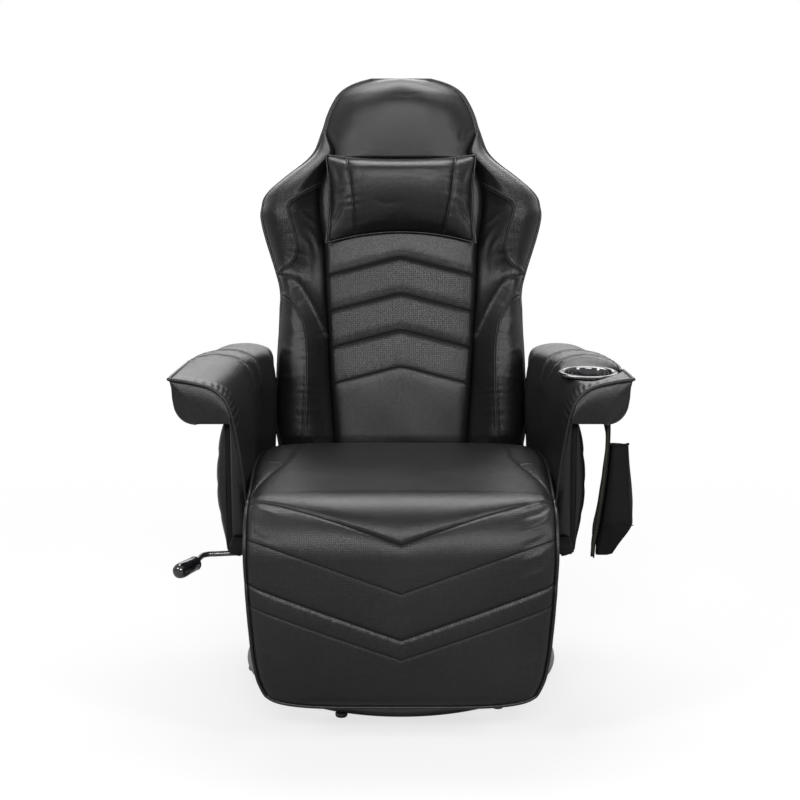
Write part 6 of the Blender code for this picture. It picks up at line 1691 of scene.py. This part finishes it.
# A sewn fold crosses the front end below the belly, and runs down from its inner end
FOLD_Z = 0.346
cross_out = np.linspace(0.10, 0.97, 30)
cross_x = flap_face(POUCH_FRONT_Y, np.full(30, POUCH_CORNER_Z)) + cross_out * 0.0608
cross_z = FOLD_Z + 0.004 * np.sin(np.pi * cross_out)
cross_fold = np.stack([cross_x, np.full(30, POUCH_FRONT_Y - 0.0004), cross_z], axis=-1)
down_z = np.linspace(FOLD_Z, 0.290, 20)
down_x = np.linspace(cross_x[0], 0.3520, 20)
down_fold = np.stack([down_x, POUCH_FRONT_Y - 0.0006 + 0.35 * (FOLD_Z - down_z), down_z], axis=-1)
front_folds = tube("pouch_front_folds", np.concatenate([down_fold[::-1], cross_fold[1:]]), 0.0009)


FLAP_TOP_Z = 0.5326
FLAP_FOOT_Z = 0.282
FLAP_MIDDLE_Y = -0.155
FLAP_WIDTH = 0.150


def make_pouch_flap():
    rows, columns = 85, 61
    down, along = np.meshgrid(np.linspace(0, 1, rows), crowded(columns), indexing="ij")
    z = FLAP_TOP_Z - (FLAP_TOP_Z - FLAP_FOOT_Z) * down
    corner = np.clip((down - 0.94) / 0.06, 0, 1)
    width = FLAP_WIDTH - 0.018 * corner ** 2 - 0.030 * np.clip((0.20 - down) / 0.20, 0, 1) ** 1.5
    y = FLAP_MIDDLE_Y + (2 * along - 1) * width / 2
    face = flap_face(y, z) - 0.0004
    foot = np.sqrt(np.clip(1 - np.clip((down - 0.93) / 0.07, 0, 1) ** 2, 0, 1))
    dome = 0.0048 * (1 - np.abs(2 * along - 1) ** 8) * foot + 0.0026
    dome = dome + 0.0008 * np.sin(y * 70 + z * 20) * np.sin(z * 55)
    inner = np.stack([face - dome, y, z], axis=-1)
    rear = np.stack([face, y, z], axis=-1)[::COARSE, ::COARSE]
    uv = np.stack([y, z], axis=-1)
    edge = np.stack([face[:, 0] - 0.0050, y[:, 0] - 0.0006, z[:, 0]], axis=-1)
    return pad_object("pouch_back_flap", inner, rear, uv), edge[2:-2:2]


pouch_flap, flap_edge = make_pouch_flap()
flap_binding = tube("pouch_flap_binding", flap_edge, 0.0026)
for piece, finish in [(pouch_bag, pouch_fabric), (mouth_binding, pouch_fabric), (pouch_flap, pouch_fabric),
                      (corner_binding, pouch_fabric), (front_folds, pouch_fabric),
                      (flap_binding, pouch_edge_cloth)]:
    settle(piece, finish)
    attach(piece, "pouch")
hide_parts("pouch_bag")
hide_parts("pouch_flap")


# Room: pale floor, white surround, soft lamps and the camera
# A seamless white studio. One broad lamp stands high over the front, weaker ones stand at both sides
# and high over the back, and a faint one lights the rear.

def make_floor_finish():
    """Pale floor that keeps the chair's shadow near it and runs out into white."""
    finish, tree, shader = new_finish("studio_floor", Roughness=0.6)
    shader.inputs["Specular IOR Level"].default_value = 0.0
    tone = object_noise(tree, 0.8)
    color = mix_colors(tree, spread(tree, tone, 0.0, 1.0), (0.37, 0.37, 0.37), (0.40, 0.40, 0.40))
    tree.links.new(color, shader.inputs["Base Color"])
    white = put(tree, "ShaderNodeEmission", {"Color": (1.0, 1.0, 1.0, 1.0), "Strength": 1.0})
    place = put(tree, "ShaderNodeTexCoord").outputs["Object"]
    distance = put(tree, "ShaderNodeVectorMath", {0: place}, operation="LENGTH").outputs["Value"]
    far = spread(tree, distance, 0.72, 1.0, 0.6, 1.8)
    path = put(tree, "ShaderNodeLightPath")
    seen = calc(tree, "MULTIPLY", path.outputs["Is Camera Ray"], far)
    blend = put(tree, "ShaderNodeMixShader",
                {0: seen, 1: shader.outputs["BSDF"], 2: white.outputs["Emission"]})
    tree.links.new(blend.outputs[0], tree.nodes["Material Output"].inputs["Surface"])
    return finish


bpy.ops.object.select_all(action="DESELECT")
bpy.ops.mesh.primitive_plane_add(size=40.0, location=(0, 0, 0))
floor = bpy.context.object
floor.name = "floor"
floor.data.materials.append(make_floor_finish())

world = bpy.data.worlds.new("studio")
bpy.context.scene.world = world
world.use_nodes = True
sky = world.node_tree
sky.nodes.clear()
rays = put(sky, "ShaderNodeLightPath")
seen = calc(sky, "MAXIMUM", rays.outputs["Is Camera Ray"], rays.outputs["Is Transmission Ray"])
seen = calc(sky, "MAXIMUM", seen, rays.outputs["Is Glossy Ray"])
room_light = put(sky, "ShaderNodeBackground", {"Color": (1.0, 1.0, 1.0, 1.0), "Strength": 0.30})
room_white = put(sky, "ShaderNodeBackground", {"Color": (1.0, 1.0, 1.0, 1.0), "Strength": 1.0})
surround = put(sky, "ShaderNodeMixShader", {0: seen, 1: room_light.outputs[0], 2: room_white.outputs[0]})
put(sky, "ShaderNodeOutputWorld", {"Surface": surround.outputs[0]})


def add_lamp(name, place, target, size, power):
    lamp_data = bpy.data.lights.new(name, "AREA")
    lamp_data.shape = "RECTANGLE"
    lamp_data.size, lamp_data.size_y = size
    lamp_data.energy = power
    lamp = add_object(name, lamp_data)
    lamp.location = place
    lamp.rotation_euler = (Vector(target) - Vector(place)).to_track_quat("-Z", "Y").to_euler()
    lamp.visible_camera = False


add_lamp("front_softbox", (0.0, -4.6, 2.9), (0.0, 0.0, 0.7), (2.4, 0.8), 330.0)
add_lamp("left_softbox", (2.6, -2.2, 2.2), (0.0, 0.0, 0.7), (0.8, 1.4), 110.0)
add_lamp("right_softbox", (-2.6, -2.2, 2.2), (0.0, 0.0, 0.7), (0.8, 1.4), 110.0)
add_lamp("top_softbox", (0.0, 1.0, 3.1), (0.0, -0.1, 0.6), (2.6, 1.2), 160.0)
add_lamp("rear_softbox", (0.0, 3.0, 2.0), (0.0, 0.0, 0.7), (3.0, 1.0), 36.0)

camera_data = bpy.data.cameras.new("camera")
camera_data.lens = 73.44
camera_data.sensor_width = 36.0
camera_data.dof.use_dof = False
camera = add_object("camera", camera_data)
camera.location = Vector((-0.0018, -3.0, 1.165)) + TO_FRAME.translation
camera.rotation_euler = (math.radians(90.0 - 12.1), 0.0, 0.0)
bpy.context.scene.camera = camera
bpy.context.scene.view_settings.view_transform = "Standard"
